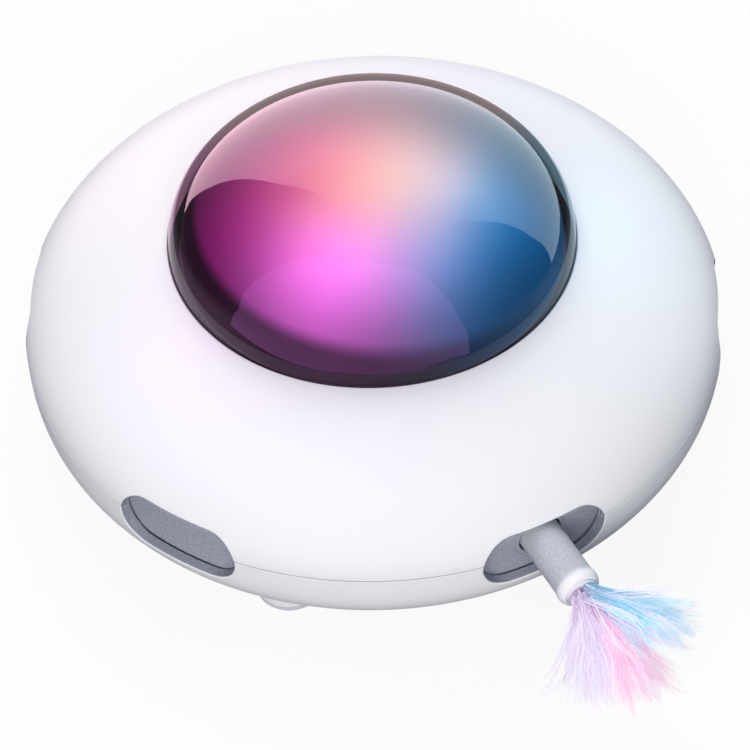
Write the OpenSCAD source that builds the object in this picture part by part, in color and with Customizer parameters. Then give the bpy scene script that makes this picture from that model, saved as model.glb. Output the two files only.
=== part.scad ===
// Round cat teaser toy: a saucer body with slots round its rim, a lit dome on top, and an inner
// turntable that sends a feather tube out through a slot. Millimetres, +Z up, origin on the floor
// under the dome's axis. The tube points along -Y.

/* [Body] */
// Outer diameter of the round body
body_d = 185; // [175:1:205]
// Height of the parting seam above the floor
seam_z = 29.5; // [29:0.5:34]
// Rise of the upper shell's curve above the seam, at the axis
upper_rise = 32.6; // [31:0.2:38]
// Depth of the lower shell's curve below the seam, where its flat underside doesn't cut it
lower_drop = 35.7; // [33:0.1:40]
// Gap between the flat underside and the floor
underside_gap = 3.2; // [2.8:0.1:3.8]
// Wall of both shells
wall = 2.4; // [2:0.1:2.8]
// Depth of the belt wall at the seam, which the slots pass through
belt_wall = 3.3; // [3.1:0.1:4]

/* [Slots] */
// Number of slots round the rim
slot_count = 6; // [6]
// Length of a slot along the rim
slot_w = 34.2; // [32:0.1:36]
// Height of a slot
slot_h = 15.9; // [15:0.1:16.4]
// How far the middle of a slot lies below the seam
slot_drop = 1.5; // [1:0.1:2]

/* [Dome] */
// Outer diameter of the dome at its foot
dome_d = 105.4; // [98:0.2:110]
// Rise of the dome above the shell at its foot
dome_rise = 27; // [20:0.5:30]
// Wall of the smoked dome
dome_wall = 2.2; // [1.6:0.1:2.6]
// Air gap between the dome and the light diffuser
diffuser_gap = 1.1; // [0.6:0.1:1.6]
// Wall of the light diffuser
diffuser_wall = 1.6; // [1.2:0.1:2]

/* [Teaser] */
// Outer diameter of the teaser tube
tube_d = 10.6; // [10:0.2:11]
// Bore of the teaser tube
tube_bore_d = 8.4; // [7.6:0.1:8.8]
// How far the tube's tip stands out past the rim
tube_reach = 16; // [12:0.5:20]
// Outer diameter of the rounded lip at the tube's tip
lip_d = 11.2; // [11.2:0.1:12]
// Length of the middle feather
plume_l = 38; // [30:1:44]
// Width of one feather at its fullest
plume_w = 13; // [10:0.5:13.5]
// Angle between neighbouring feathers
plume_fan = 31; // [31:1:35]

/* [Drive] */
// Teeth of the drive gear
gear_teeth = 14; // [14:1:16]
// Module of the drive gear and its rack
gear_module = 1; // [1:0.02:1.1]
// Diameter of the motor tower that the turntable turns on
tower_d = 22; // [21.6:0.2:23]
// Thickness of the turntable's plate
plate_t = 2.5; // [2:0.1:3]
// Thickness of the drum wall behind the slots
drum_wall = 1.6; // [1.2:0.1:2.4]

/* [Feet] */
// Diameter of a foot
foot_d = 17.6; // [15:0.2:19]
// Distance of the feet from the rim
foot_inset = 19; // [18:0.5:22]

/* [Electronics] */
// Length of the battery cell
battery_l = 46; // [40:1:48]
// Width of the battery cell
battery_w = 30; // [26:1:31]
// Thickness of the battery cell
battery_t = 8; // [6:0.5:8.5]
// Diameter of the power button
button_d = 8; // [7:0.2:9]
// Travel of the power button
button_travel = 0.8; // [0.5:0.1:1]

/* [Hidden] */
$fn = 72;
fit = 0.05;              // radial clearance of a pressed or running fit
slide_gap = 0.15;        // clearance over and under the sliding carriage
rail_gap = 0.2;          // clearance at each side of the sliding carriage
drum_gap = 0.7;          // clearance between the drum and the belt wall
seam_v = 0.3;            // chamfer along the outer edge of the seam
through = 1;             // how far a cutter runs past a face
body_r = body_d / 2;
cavity_r = body_r - belt_wall;
drum_r = cavity_r - drum_gap;
floor_z = underside_gap + wall;
slot_pitch = 360 / slot_count;
slot_run = 5;            // how far a slot's cut runs past the belt wall, inside and out
teaser_turn = 270;       // polar angle of the slot that the tube uses

// Exponents of the lower shell's blunt curve, along the radius and along the height
blunt_r = 1.7;
blunt_z = 3.4;
// Exponent of the dome's curve
dome_power = 2.2;
curve_steps = 18;
slope_step = 0.1;        // height over which a curve's slope is taken

// Teaser and carriage
axis_z = seam_z;
slot_z = seam_z - slot_drop;
slot_sill = slot_z - slot_h / 2;
tube_r = tube_d / 2;
tip_y = -(body_r + tube_reach);
lip_l = 3;
lip_r = lip_d / 2;
lip_share = 0.45;        // of the lip's wall, for its rounded edges
lip_round = lip_share * (lip_r - tube_bore_d / 2);
travel = -tip_y - drum_r;
carriage_floor = 4;
carriage_roof = 1.85;
carriage_w = 27.8;
carriage_l = 14;
plate_top = axis_z - tube_r - carriage_floor;
plate_bottom = plate_top - plate_t;
carriage_bottom = plate_top + slide_gap;
carriage_top = axis_z + tube_r + carriage_roof;
rail_top = carriage_top + slide_gap;
rail_w = 2.5;
rail_x = carriage_w / 2 + rail_gap;
bush_r = lip_r + 1.5;
drum_lap = 1.2;
drum_top = axis_z + bush_r + drum_lap;
drum_low_r = min(drum_r, lower_in(plate_bottom, wall + drum_gap));
drum_break = seam_z + 3;
drum_top_r = min(drum_r, upper_in(drum_top, wall + drum_gap));
tube_stop = 2;
pin_inset = 0.3;

// Motor tower, its shoulder and cap
tower_r = tower_d / 2;
hub_r = tower_r + 3;
hub_gap = 0.1;
friction_t = 1;
friction_r = tower_r + 4.8;
shoulder_top = plate_bottom - friction_t - fit;
shoulder_t = 2.5;
shoulder_r = friction_r + 0.4;
tower_foot_r = tower_r + 9;
tower_foot_t = 2.5;
tower_top = axis_z - 3;
cap_t = 1.8;
cap_r = hub_r - 0.6;
cap_hole_r = 2.6;
motor = [10, 12];
gearbox_l = 8.5;
motor_seat = floor_z + 0.8;
motor_gap = 0.1;
lead_slot = [6, 6];
shaft_r = 1.5;
shaft_press = 0.02;
shaft_proud = 0.8;
carriage_rear = -(hub_r + 1.5 + travel);
carriage_front = carriage_rear - carriage_l;

// Gear and rack
pitch_r = gear_teeth * gear_module / 2;
pressure = 25;
base_r = pitch_r * cos(pressure);
backlash = 0.12 * gear_module;
tooth_half = (PI * gear_module / 2 - backlash) / (2 * pitch_r) * 180 / PI;
flank_steps = 4;
addendum = 0.9 * gear_module;
dedendum = 1.25 * gear_module;
gear_bottom = tower_top + cap_t + 0.7;
gear_h = 5;
rack_edge = 0.2;
rack_back = rail_x - 0.7;
rack_lead = 5;

// Tube bush in the drum wall
bush_l = 8.6;
bush_flange_r = bush_r + 2;
bush_flange_t = 2;
bush_flange_y = -sqrt(pow(drum_top_r - drum_wall, 2) - pow(bush_flange_r, 2)) + fit;
lip_seat = lip_l + 0.8;
lip_gap = 0.3;

// Light unit in the dome
dome_r = dome_d / 2;
dome_gap = 0.25;
open_r = dome_r + dome_gap;
dome_z = seam_z + upper_rise * sqrt(1 - pow(dome_r / body_r, 2));
dome_sink = 3.8;
ledge_top = dome_z - dome_sink;
ledge_t = 2.5;
ledge_in = dome_r - dome_wall - diffuser_gap - diffuser_wall - 0.3;
well_r = open_r + wall;
seal_t = 0.6;
tray_t = 2.4;
tray_bottom = ledge_top - ledge_t - tray_t;
tray_r = well_r - 0.2;
tray_screw_r = (ledge_in + tray_r) / 2;
led_board_r = ledge_in - 3.5;
led_board_t = 1.6;
led_size = [5, 5, 1.5];
led_rings = [[4, 0.3, 45], [8, 0.72, 0]];  // count, share of the board's radius, turn

// Feather refill
socket_l = 9;
socket_proud = 0.6;
socket_r = tube_bore_d / 2 - 0.08;
plume_start = tip_y - socket_proud;
plume_root_r = 1.2;
plume_pitch = 2 * plume_root_r + 0.3;
plume_droop = 9;
plume_gap = 0.1;
plume_bias = 1.7;        // moves a feather's widest place towards its tip
plume_fullness = 0.75;   // blunts a feather's outline
plume_steps = 12;
lilac_share = 0.84;
blue_share = 0.9;

// Underside, feet and electronics
foot_r = foot_d / 2;
foot_ring = body_r - foot_inset;
foot_t = underside_gap - 0.6;
foot_stud_r = 2.4;
foot_stud_l = 2;
foot_round = 1;
foot_rim = 0.4;
foot_turns = [225, 315, 45, 135];
foot_boss_h = 4;
foot_stud_end = 0.2;
board_z = floor_z + 4.6;
board_t = 1.6;
board_in = tower_foot_r + 20;
board_w = 44;
tongue_w = 14;
tongue_l = 4.4;
tongue_gap = 0.6;
board_out = lower_in(board_z, wall) - tongue_l - tongue_gap;
standoff_r = 3.2;
board_hole = 4;          // inset of the board's screw holes
board_hole_out = 12;     // inset of the outer two, which keep clear of the curved wall
standoffs = [for (x = [board_in + board_hole, board_out - board_hole_out],
                  y = [-1, 1] * (board_w / 2 - board_hole)) [x, y]];
chips = [                // place on the board, then length, width and height
    [board_in + 10, -4, 7, 7, 1], [board_in + 10, 10, 5, 4, 1.4], [board_out - 13, -14, 5, 4, 1.4]
];
capacitor = [board_out - 12, -4];
capacitor_r = 2.5;
capacitor_h = 2.4;
button_x = (board_in + board_out) / 2;
button_r = button_d / 2;
button_gap = 0.3;
button_proud = 0.5;
button_flange = 1.6;
button_flange_t = 0.7;
button_stem_r = 1.7;
button_stem = 2.4;
flange_z = floor_z + fit;
stem_top = flange_z + button_flange_t + button_stem;
switch_size = [6.2, 6.2];
switch_h = board_z - floor_z - 3;
stem_end = 0.2;
usb = [9, 3.2, 9.6];
usb_gap = 0.3;
usb_z = board_z + board_t + usb[1] / 2;
usb_mouth = lower_r(usb_z - seam_z) - 1;
usb_wall = 0.35;
usb_back = 1.5;
usb_tongue = [6.4, 0.7];
battery = [battery_w, battery_l, battery_t];
battery_x = -(tower_foot_r + 7 + battery_w / 2);
battery_pad_t = 1;
battery_pad_inset = 2;
battery_gap = 0.3;
cradle_t = 1.6;
cradle_h = 5;
fence_end = 6;
shaker_r = 3;
shaker_l = 12;
shaker_y = 46;
shaker_z = floor_z + 4.6;
shaker_cradle_l = 7;
weight_r = 3.4;
weight_l = 4;
weight_gap = 0.8;
weight_pin_r = 0.5;
weight_flat = 0.8;

// Snap tongue of the upper shell in the lower shell's groove
snap_r = cavity_r + 0.9;
snap_w = 1.1;
snap_h = 2.2;
snap_gap = 0.15;

// Self-tapping screws: shaft radius and the pilot that takes it
screw_r = 1;
pilot_r = screw_r + fit;
head_r = 1.9;
head_h = 1.2;
pass_r = screw_r + 0.2;
screw_end = 0.3;         // room past a screw's tip
screw_skin = 0.4;        // solid left past a blind pilot
cross_l = 2.2;
cross_w = 0.5;
cross_depth = 0.6;
cap_grip = 5.5;          // thread of the motor cap's screws in the tower
board_grip = 4;          // thread of the control board's screws in their standoffs
cover_grip = 6;          // thread of the guide cover's screws in their bosses
cap_screws = [[-1, 0], [1, 0]] * (motor[0] / 2 + motor_gap + tower_r) / 2;
tower_screws = [for (k = [0:2]) [cos(120 * k + 60), sin(120 * k + 60)] * (tower_r + 5.5)];
cover_ear = 2.9;
cover_lap = 0.8;         // how far a screw boss runs into its rail
cover_x = rail_x + rail_w + cover_ear - cover_lap;
cover_rear = -(hub_r + 3);
cover_front = carriage_front - 12;
cover_t = 2;
cover_screws = [for (x = [-1, 1] * cover_x, y = [cover_front + 4, cover_rear - 4]) [x, y]];
tray_screws = [for (k = [0:3]) [cos(90 * k + 45), sin(90 * k + 45)] * tray_screw_r];
board_screws = [for (k = [0:2]) [cos(120 * k + 90), sin(120 * k + 90)] * (led_board_r - 4)];

// LED ribbon: its turn about the axis, and its route as radius and height
ribbon_turn = 11.3;
ribbon_w = 4;
ribbon_t = 0.3;
ribbon_gap = 0.35;
ribbon_room = 2;
ribbon_off = 0.6;        // from the drum's wall to the middle of the ribbon
ribbon_drop = 1;         // from the upper shell's inner face to the middle of the ribbon
ribbon_path = [
    [board_out - 8, board_z + board_t + 0.2],
    [board_out, board_z + board_t + 0.2],
    [lower_in(plate_bottom - 2, wall) - ribbon_drop, plate_bottom - 2],
    [drum_low_r + ribbon_off, plate_bottom],
    [drum_r + ribbon_off, slot_sill],
    [drum_r + ribbon_off, drum_break],
    [drum_top_r + ribbon_off, drum_top + 0.2],
    for (z = [drum_top + 2, (drum_top + tray_bottom) / 2, tray_bottom - 1.3])
        [upper_in(z, wall) - ribbon_drop, z],
    [tray_r + 4, tray_bottom - 0.6],
    [led_board_r - 2.5, tray_bottom - 0.6],
    [led_board_r - 4, tray_bottom],
    [led_board_r - 4, tray_bottom + tray_t]
];

// Leads: wire radius and the points that each lead follows
wire_r = 0.7;
wire_pair = [0, 0, 1];
wire_sides = 8;
wire_steps = 3;
solder_z = board_z + board_t + wire_pair[2] + wire_r + fit;
lead_gap = 0.5;          // room between the cell and the slanted end of its lead
battery_edge = battery_x + battery_w / 2 + lead_gap;
battery_route = [
    [battery_edge, -14, 11], [battery_edge + 3, -14, 11], [-16, -27, 10], [0, -31, 9.6],
    [20, -28, 10], [34, -21, 11.2], [board_in - 2, -16.5, solder_z], [board_in + 2, -15.5, solder_z]
];
motor_route = [
    [motor[0] / 2 + motor_gap + 0.4, 0, floor_z + 4.4], [tower_r + 2, 0, floor_z + 4.4],
    [tower_foot_r + 4, 2, floor_z + 4.6], [board_in - 5, 6, 11.6],
    [board_in - 1.5, 7.5, solder_z], [board_in + 2, 8, solder_z]
];
shaker_route = [
    [-shaker_l / 2 - fit, shaker_y, shaker_z], [-shaker_l / 2 - 3, shaker_y - 1, shaker_z],
    [-shaker_l / 2 - 4, shaker_y - 8, 10], [6, 31, 10], [24, 25, 10.6],
    [board_in - 6, 18.5, 11.6], [board_in - 2, 16.4, solder_z], [board_in + 2, 15.5, solder_z]
];

// Curves

// Radius of the lower shell at a height h below the seam, given as a negative number
function lower_r(h) = body_r * pow(1 - pow(-h / lower_drop, blunt_z), 1 / blunt_r);

// Radius of the upper shell at a height h above the seam
function upper_r(h) = body_r * sqrt(1 - pow(h / upper_rise, 2));

// Radius at height z of a face that lies inside each shell's outer curve by an inset
function inside(r, near, inset) = r - inset * norm([1, (near - r) / slope_step]);
function lower_in(z, inset) = inside(lower_r(z - seam_z), lower_r(z - seam_z - slope_step), inset);
function upper_in(z, inset) = inside(upper_r(z - seam_z), upper_r(z - seam_z + slope_step), inset);

// Point of the upper curve at angle a, moved in by an offset along its normal
function upper_pt(a, inset) =
    let (r = body_r * cos(a), z = upper_rise * sin(a),
         n = [cos(a) / body_r, sin(a) / upper_rise])
    [r, seam_z + z] - inset * n / norm(n);

// Point of the lower curve at angle a, moved in by an offset along its normal
function lower_pt(a, inset) =
    let (r = pow(cos(a), 2 / blunt_r), z = pow(sin(a), 2 / blunt_z),
         n = [blunt_r * pow(r, blunt_r - 1) / body_r, -blunt_z * pow(z, blunt_z - 1) / lower_drop])
    [body_r * r, seam_z - lower_drop * z] - inset * n / norm(n);

// Point of the dome's curve at angle a, moved in by an offset
function dome_pt(a, inset) =
    [(dome_r - inset) * pow(cos(a), 2 / dome_power),
     dome_z + (dome_rise - inset) * pow(sin(a), 2 / dome_power)];

// Closed outline of a flat strip of thickness t along a path
function path_normal(p, i) =
    let (d = p[min(i + 1, len(p) - 1)] - p[max(i - 1, 0)]) [-d[1], d[0]] / norm(d);
function strip(p, t) = concat(
    [for (i = [0:len(p) - 1]) p[i] + path_normal(p, i) * t / 2],
    [for (i = [len(p) - 1:-1:0]) p[i] - path_normal(p, i) * t / 2]);

// Smooth run through a route's points, and the ring of corners round one of them
function between(a, b, c, d, t) =
    0.5 * (2 * b + (c - a) * t + (2 * a - 5 * b + 4 * c - d) * t * t + (3 * b - a - 3 * c + d) * t * t * t);
function smooth(p) = concat(
    [for (i = [0:len(p) - 2], k = [0:wire_steps - 1])
        between(p[max(i - 1, 0)], p[i], p[i + 1], p[min(i + 2, len(p) - 1)], k / wire_steps)],
    [p[len(p) - 1]]);
function unit(v) = v / norm(v);
function ring(p, i, r) =
    let (d = unit(p[min(i + 1, len(p) - 1)] - p[max(i - 1, 0)]),
         side = unit(cross(d, [0, 0, 1])),
         up = cross(side, d))
    [for (k = [0:wire_sides - 1])
        p[i] + r * (cos(360 * k / wire_sides) * side + sin(360 * k / wire_sides) * up)];

// Half angle of a gear tooth at a radius, from the involute of the base circle
function involute(r) = let (a = acos(min(1, base_r / r))) tan(a) * 180 / PI - a;
function tooth_angle(r) = tooth_half + involute(pitch_r) - involute(max(r, base_r));

// Shared shapes

module stadium(w, h) {
    for (x = [-1, 1]) translate([x * (w - h) / 2, 0]) circle(d = h);
    square([w - h, h], center = true);
}

module wire(route, shift) {
    path = [for (p = smooth(route)) p + shift];
    n = wire_sides;
    last = (len(path) - 1) * n;
    points = [for (i = [0:len(path) - 1]) each ring(path, i, wire_r)];
    faces = concat(
        [[for (k = [0:n - 1]) k]],
        [[for (k = [n - 1:-1:0]) last + k]],
        [for (i = [0:len(path) - 2], k = [0:n - 1], half = [0, 1])
            let (a = i * n + k, b = i * n + (k + 1) % n)
            half == 0 ? [a + n, b, a] : [a + n, b + n, b]]);
    polyhedron(points, faces);
}

module lead(route) {
    wire(route, wire_pair);
    wire(route, -wire_pair);
}

module screw(length) {
    cylinder(r = screw_r, h = length);
    difference() {
        translate([0, 0, -head_h]) cylinder(r = head_r, h = head_h);
        for (turn = [0, 90])
            rotate(turn) translate([0, 0, -head_h])
                cube([cross_l, cross_w, 2 * cross_depth], center = true);
    }
}

module slots() {
    for (k = [0:slot_count - 1])
        rotate(teaser_turn + k * slot_pitch)
            translate([cavity_r - slot_run, 0, slot_z])
                rotate([0, 90, 0])
                    rotate(90) linear_extrude(belt_wall + 2 * slot_run) stadium(slot_w, slot_h);
}

module ribbon_run(width, thickness) {
    rotate(ribbon_turn)
        rotate([90, 0, 0])
            translate([0, 0, -width / 2]) linear_extrude(width) polygon(strip(ribbon_path, thickness));
}

// Casing

module upper_outline() {
    start = asin(seam_v / upper_rise);
    stop = 90;
    polygon(concat(
        [[0, seam_z], [body_r - seam_v, seam_z]],
        [for (k = [0:curve_steps]) upper_pt(start + (stop - start) * k / curve_steps, 0)]));
}

module upper_cavity() {
    intersection() {
        polygon(concat(
            [[0, 0], [body_r - wall, 0]],
            [for (k = [0:curve_steps]) upper_pt(90 * k / curve_steps, wall)]));
        square([cavity_r, seam_z + upper_rise]);
    }
}

module upper_section() {
    difference() {
        union() {
            difference() {
                upper_outline();
                upper_cavity();
            }
            intersection() {
                upper_outline();
                translate([ledge_in, ledge_top - ledge_t]) square([well_r - ledge_in, dome_rise]);
            }
            translate([snap_r, seam_z - snap_h]) square([snap_w, snap_h + through]);
        }
        square([ledge_in, seam_z + upper_rise + through]);
        translate([0, ledge_top]) square([open_r, upper_rise]);
    }
}

module upper_shell() {
    color("white") difference() {
        rotate_extrude() upper_section();
        slots();
        ribbon_run(ribbon_w + 2 * ribbon_gap, ribbon_t + 2 * ribbon_gap);
        for (p = tray_screws)
            translate([p[0], p[1], ledge_top - ledge_t - through])
                cylinder(r = pilot_r, h = ledge_t - screw_skin + through);
    }
}

module lower_outline() {
    start = asin(pow(seam_v / lower_drop, blunt_z / 2));
    stop = asin(pow((seam_z - underside_gap) / lower_drop, blunt_z / 2));
    polygon(concat(
        [[0, underside_gap], [0, seam_z], [body_r - seam_v, seam_z]],
        [for (k = [0:curve_steps]) lower_pt(start + (stop - start) * k / curve_steps, 0)]));
}

module lower_cavity() {
    first = 2;
    last = 70;
    intersection() {
        polygon(concat(
            [[0, 0], [0, seam_z + through], [body_r - wall, seam_z + through]],
            [for (k = [0:curve_steps]) lower_pt(first + (last - first) * k / curve_steps, wall)]));
        translate([0, floor_z]) square([cavity_r, seam_z]);
    }
}

module foot_bosses() {
    for (turn = foot_turns)
        rotate(turn) translate([foot_ring, 0, foot_t])
            cylinder(r = foot_r + foot_rim, h = floor_z + foot_boss_h - foot_t);
}

module shaker_cradle() {
    difference() {
        translate([-shaker_cradle_l / 2, shaker_y - shaker_r - cradle_t, floor_z - through])
            cube([shaker_cradle_l, 2 * (shaker_r + cradle_t), shaker_z - floor_z + through]);
        translate([-shaker_l, shaker_y, shaker_z])
            rotate([0, 90, 0]) cylinder(r = shaker_r + fit, h = 2 * shaker_l);
    }
}

module battery_fence() {
    outer = [battery[0] + 2 * (battery_gap + cradle_t), battery[1] + 2 * (battery_gap + cradle_t)];
    inner = [battery[0] + 2 * battery_gap, battery[1] + 2 * battery_gap];
    translate([battery_x, 0, floor_z - through]) difference() {
        linear_extrude(cradle_h + through) square(outer, center = true);
        linear_extrude(cradle_h + 2 * through) square(inner, center = true);
        translate([0, 0, through]) linear_extrude(cradle_h + through)
            square([2 * battery[0], battery[1] - 2 * fence_end], center = true);
    }
}

module lower_shell() {
    color("white") difference() {
        union() {
            difference() {
                union() {
                    rotate_extrude() lower_outline();
                    foot_bosses();
                }
                rotate_extrude() lower_cavity();
            }
            for (p = standoffs)
                translate([p[0], p[1], floor_z - through])
                    cylinder(r = standoff_r, h = board_z - floor_z + through);
            shaker_cradle();
            battery_fence();
        }
        rotate_extrude()
            translate([snap_r - snap_gap, seam_z - snap_h - snap_gap])
                square([snap_w + 2 * snap_gap, snap_h + snap_gap + through]);
        slots();
        ribbon_run(ribbon_w + 2 * ribbon_gap, ribbon_t + 2 * ribbon_gap);
        for (turn = foot_turns)
            rotate(turn) translate([foot_ring, 0, foot_t - through])
                cylinder(r = foot_stud_r + fit, h = foot_stud_l + foot_stud_end + through);
        for (p = standoffs)
            translate([p[0], p[1], board_z - board_grip - screw_end])
                cylinder(r = pilot_r, h = board_grip + screw_end + through);
        for (p = tower_screws) translate([p[0], p[1], 0]) {
            cylinder(r = head_r + 0.2, h = underside_gap + head_h);
            cylinder(r = pass_r, h = floor_z + through);
        }
        translate([button_x, 0, 0]) cylinder(r = button_r + button_gap, h = floor_z + through);
        translate([board_out, 0, usb_z]) rotate([0, 90, 0])
            rotate(90) linear_extrude(body_r - board_out)
                stadium(usb[0] + 2 * usb_gap, usb[1] + 2 * usb_gap);
    }
}

module foot(turn) {
    color("gainsboro") rotate(turn) translate([foot_ring, 0, 0]) {
        rotate_extrude() {
            translate([0, foot_round]) square([foot_r, foot_t - foot_round]);
            square([foot_r - foot_round, foot_round + through / 2]);
            translate([foot_r - foot_round, foot_round]) circle(r = foot_round);
        }
        translate([0, 0, foot_t - through / 2]) cylinder(r = foot_stud_r, h = foot_stud_l + through / 2);
    }
}

module foot_front_left() foot(foot_turns[0]);
module foot_front_right() foot(foot_turns[1]);
module foot_rear_right() foot(foot_turns[2]);
module foot_rear_left() foot(foot_turns[3]);

// Light unit

module dome_band(outer, inner, foot) {
    rotate_extrude() polygon(concat(
        [[dome_r - outer, foot]],
        [for (k = [0:curve_steps]) dome_pt(90 * k / curve_steps, outer)],
        [for (k = [curve_steps:-1:0]) dome_pt(90 * k / curve_steps, inner)],
        [[dome_r - inner, foot]]));
}

module dome_lens() color([0.3, 0.22, 0.32, 0.6]) dome_band(0, dome_wall, ledge_top + seal_t);

module light_diffuser() {
    inset = dome_wall + diffuser_gap;
    color("orchid") dome_band(inset, inset + diffuser_wall, ledge_top);
}

module dome_seal() {
    color("dimgray") translate([0, 0, ledge_top]) difference() {
        cylinder(r = dome_r, h = seal_t);
        translate([0, 0, -through]) cylinder(r = dome_r - dome_wall - 0.2, h = seal_t + 2 * through);
    }
}

module light_tray() {
    color("white") difference() {
        translate([0, 0, tray_bottom]) cylinder(r = tray_r, h = tray_t);
        for (p = tray_screws)
            translate([p[0], p[1], tray_bottom - through]) cylinder(r = pass_r, h = tray_t + 2 * through);
        for (p = board_screws)
            translate([p[0], p[1], tray_bottom - through]) cylinder(r = pilot_r, h = tray_t + 2 * through);
        rotate(ribbon_turn) translate([led_board_r - 4, 0, tray_bottom + tray_t / 2])
            cube([2 * ribbon_room, ribbon_w + ribbon_room, tray_t + 2 * through], center = true);
    }
}

module light_tray_screws() {
    color("silver") for (p = tray_screws)
        translate([p[0], p[1], tray_bottom]) screw(tray_t + ledge_t - screw_skin - screw_end);
}

module led_board() {
    color("white") difference() {
        translate([0, 0, tray_bottom + tray_t]) cylinder(r = led_board_r, h = led_board_t);
        for (p = board_screws)
            translate([p[0], p[1], tray_bottom]) cylinder(r = pass_r, h = tray_t + led_board_t + through);
    }
}

module led_board_screws() {
    color("silver") for (p = board_screws)
        translate([p[0], p[1], tray_bottom + tray_t + led_board_t])
            mirror([0, 0, 1]) screw(led_board_t + tray_t - screw_end);
}

module leds() {
    color("ivory") for (row = led_rings, k = [0:row[0] - 1])
        rotate(row[2] + 360 * k / row[0])
            translate([led_board_r * row[1], 0, tray_bottom + tray_t + led_board_t + led_size[2] / 2])
                cube(led_size, center = true);
}

module led_ribbon() color("darkorange") ribbon_run(ribbon_w, ribbon_t);

// Motor tower and drive

module motor_tower() {
    color("lightgray") difference() {
        union() {
            translate([0, 0, floor_z]) cylinder(r = tower_foot_r, h = tower_foot_t);
            translate([0, 0, floor_z]) cylinder(r = tower_r, h = tower_top - floor_z);
            translate([0, 0, shoulder_top - shoulder_t]) cylinder(r = shoulder_r, h = shoulder_t);
        }
        translate([-motor[0] / 2 - motor_gap, -motor[1] / 2 - motor_gap, motor_seat])
            cube([motor[0] + 2 * motor_gap, motor[1] + 2 * motor_gap, tower_top]);
        translate([0, -lead_slot[0] / 2, motor_seat])
            cube([tower_r + through, lead_slot[0], lead_slot[1]]);
        for (p = cap_screws)
            translate([p[0], p[1], tower_top - cap_grip - screw_end])
                cylinder(r = pilot_r, h = cap_grip + screw_end + through);
        for (p = tower_screws)
            translate([p[0], p[1], floor_z - through])
                cylinder(r = pilot_r, h = tower_foot_t - screw_skin + through);
    }
}

module motor_tower_screws() {
    color("silver") for (p = tower_screws)
        translate([p[0], p[1], underside_gap + head_h])
            screw(wall - head_h + tower_foot_t - screw_skin - screw_end);
}

module motor_can() {
    color("silver") intersection() {
        translate([0, 0, motor_seat + motor_gap])
            cylinder(r = motor[1] / 2, h = tower_top - gearbox_l - motor_seat - motor_gap);
        translate([0, 0, tower_top / 2]) cube([motor[0], 2 * motor[1], 2 * tower_top], center = true);
    }
}

module gearbox() {
    color("gold") translate([-motor[0] / 2, -motor[1] / 2, tower_top - gearbox_l])
        cube([motor[0], motor[1], gearbox_l]);
}

module motor_cap() {
    color("lightgray") difference() {
        translate([0, 0, tower_top]) cylinder(r = cap_r, h = cap_t);
        translate([0, 0, tower_top - through]) cylinder(r = cap_hole_r, h = cap_t + 2 * through);
        for (p = cap_screws) translate([p[0], p[1], 0]) {
            translate([0, 0, tower_top - through]) cylinder(r = pass_r, h = cap_t + 2 * through);
            translate([0, 0, tower_top + cap_t - head_h]) cylinder(r = head_r + 0.1, h = head_h + through);
        }
    }
}

module motor_cap_screws() {
    color("silver") for (p = cap_screws)
        translate([p[0], p[1], tower_top + cap_t - head_h])
            mirror([0, 0, 1]) screw(cap_t - head_h + cap_grip);
}

module friction_ring() {
    color("dimgray") translate([0, 0, shoulder_top]) difference() {
        cylinder(r = friction_r, h = friction_t);
        translate([0, 0, -through]) cylinder(r = tower_r + 0.3, h = friction_t + 2 * through);
    }
}

module gear_outline() {
    tip_r = pitch_r + addendum;
    root_r = pitch_r - dedendum;
    flank = [for (k = [0:flank_steps]) base_r + (tip_r - base_r) * k / flank_steps];
    last = flank_steps + 1;
    polygon([for (t = [0:gear_teeth - 1], side = [-1, 1], k = [0:last])
        let (step = side < 0 ? k : last - k,
             r = step == 0 ? root_r : flank[step - 1],
             a = 360 * t / gear_teeth + side * tooth_angle(r))
        r * [cos(a), sin(a)]]);
}

module drive_gear() {
    color("white") translate([0, 0, gear_bottom]) difference() {
        linear_extrude(gear_h) gear_outline();
        translate([0, 0, -through]) cylinder(r = shaft_r + shaft_press, h = gear_h + 2 * through);
    }
}

module motor_shaft() {
    color("silver") translate([0, 0, tower_top])
        cylinder(r = shaft_r, h = gear_bottom + gear_h + shaft_proud - tower_top);
}

// Turntable

// Section of the drum, which follows the shells' inner faces
module drum_section() {
    polygon([
        [0, plate_bottom], [drum_low_r, plate_bottom], [drum_r, slot_sill],
        [drum_r, drum_break], [drum_top_r, drum_top], [0, drum_top]
    ]);
}

module drum_room() {
    polygon([
        [0, plate_top], [drum_r - drum_wall, plate_top], [drum_r - drum_wall, drum_break],
        [drum_top_r - drum_wall, drum_top], [drum_top_r - drum_wall, drum_top + through],
        [0, drum_top + through]
    ]);
}

module turntable() {
    color("lightgray") difference() {
        rotate_extrude() drum_section();
        difference() {
            rotate_extrude() drum_room();
            translate([0, 0, plate_bottom]) cylinder(r = hub_r, h = tower_top - hub_gap - plate_bottom);
            for (side = [-1, 1])
                translate([side * (rail_x + rail_w / 2), (cover_front + cover_rear) / 2, plate_top])
                    cube([rail_w, cover_rear - cover_front, 2 * (rail_top - plate_top)], center = true);
            for (p = cover_screws)
                translate([p[0], p[1], plate_bottom]) cylinder(r = cover_ear, h = rail_top - plate_bottom);
        }
        translate([0, 0, plate_bottom - through]) cylinder(r = tower_r + fit, h = drum_top);
        translate([0, bush_flange_y, axis_z])
            rotate([90, 0, 0]) cylinder(r = bush_r + fit, h = drum_r + bush_flange_y + through);
        for (p = cover_screws)
            translate([p[0], p[1], rail_top - cover_grip - screw_end])
                cylinder(r = pilot_r, h = cover_grip + screw_end + through);
    }
}

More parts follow.
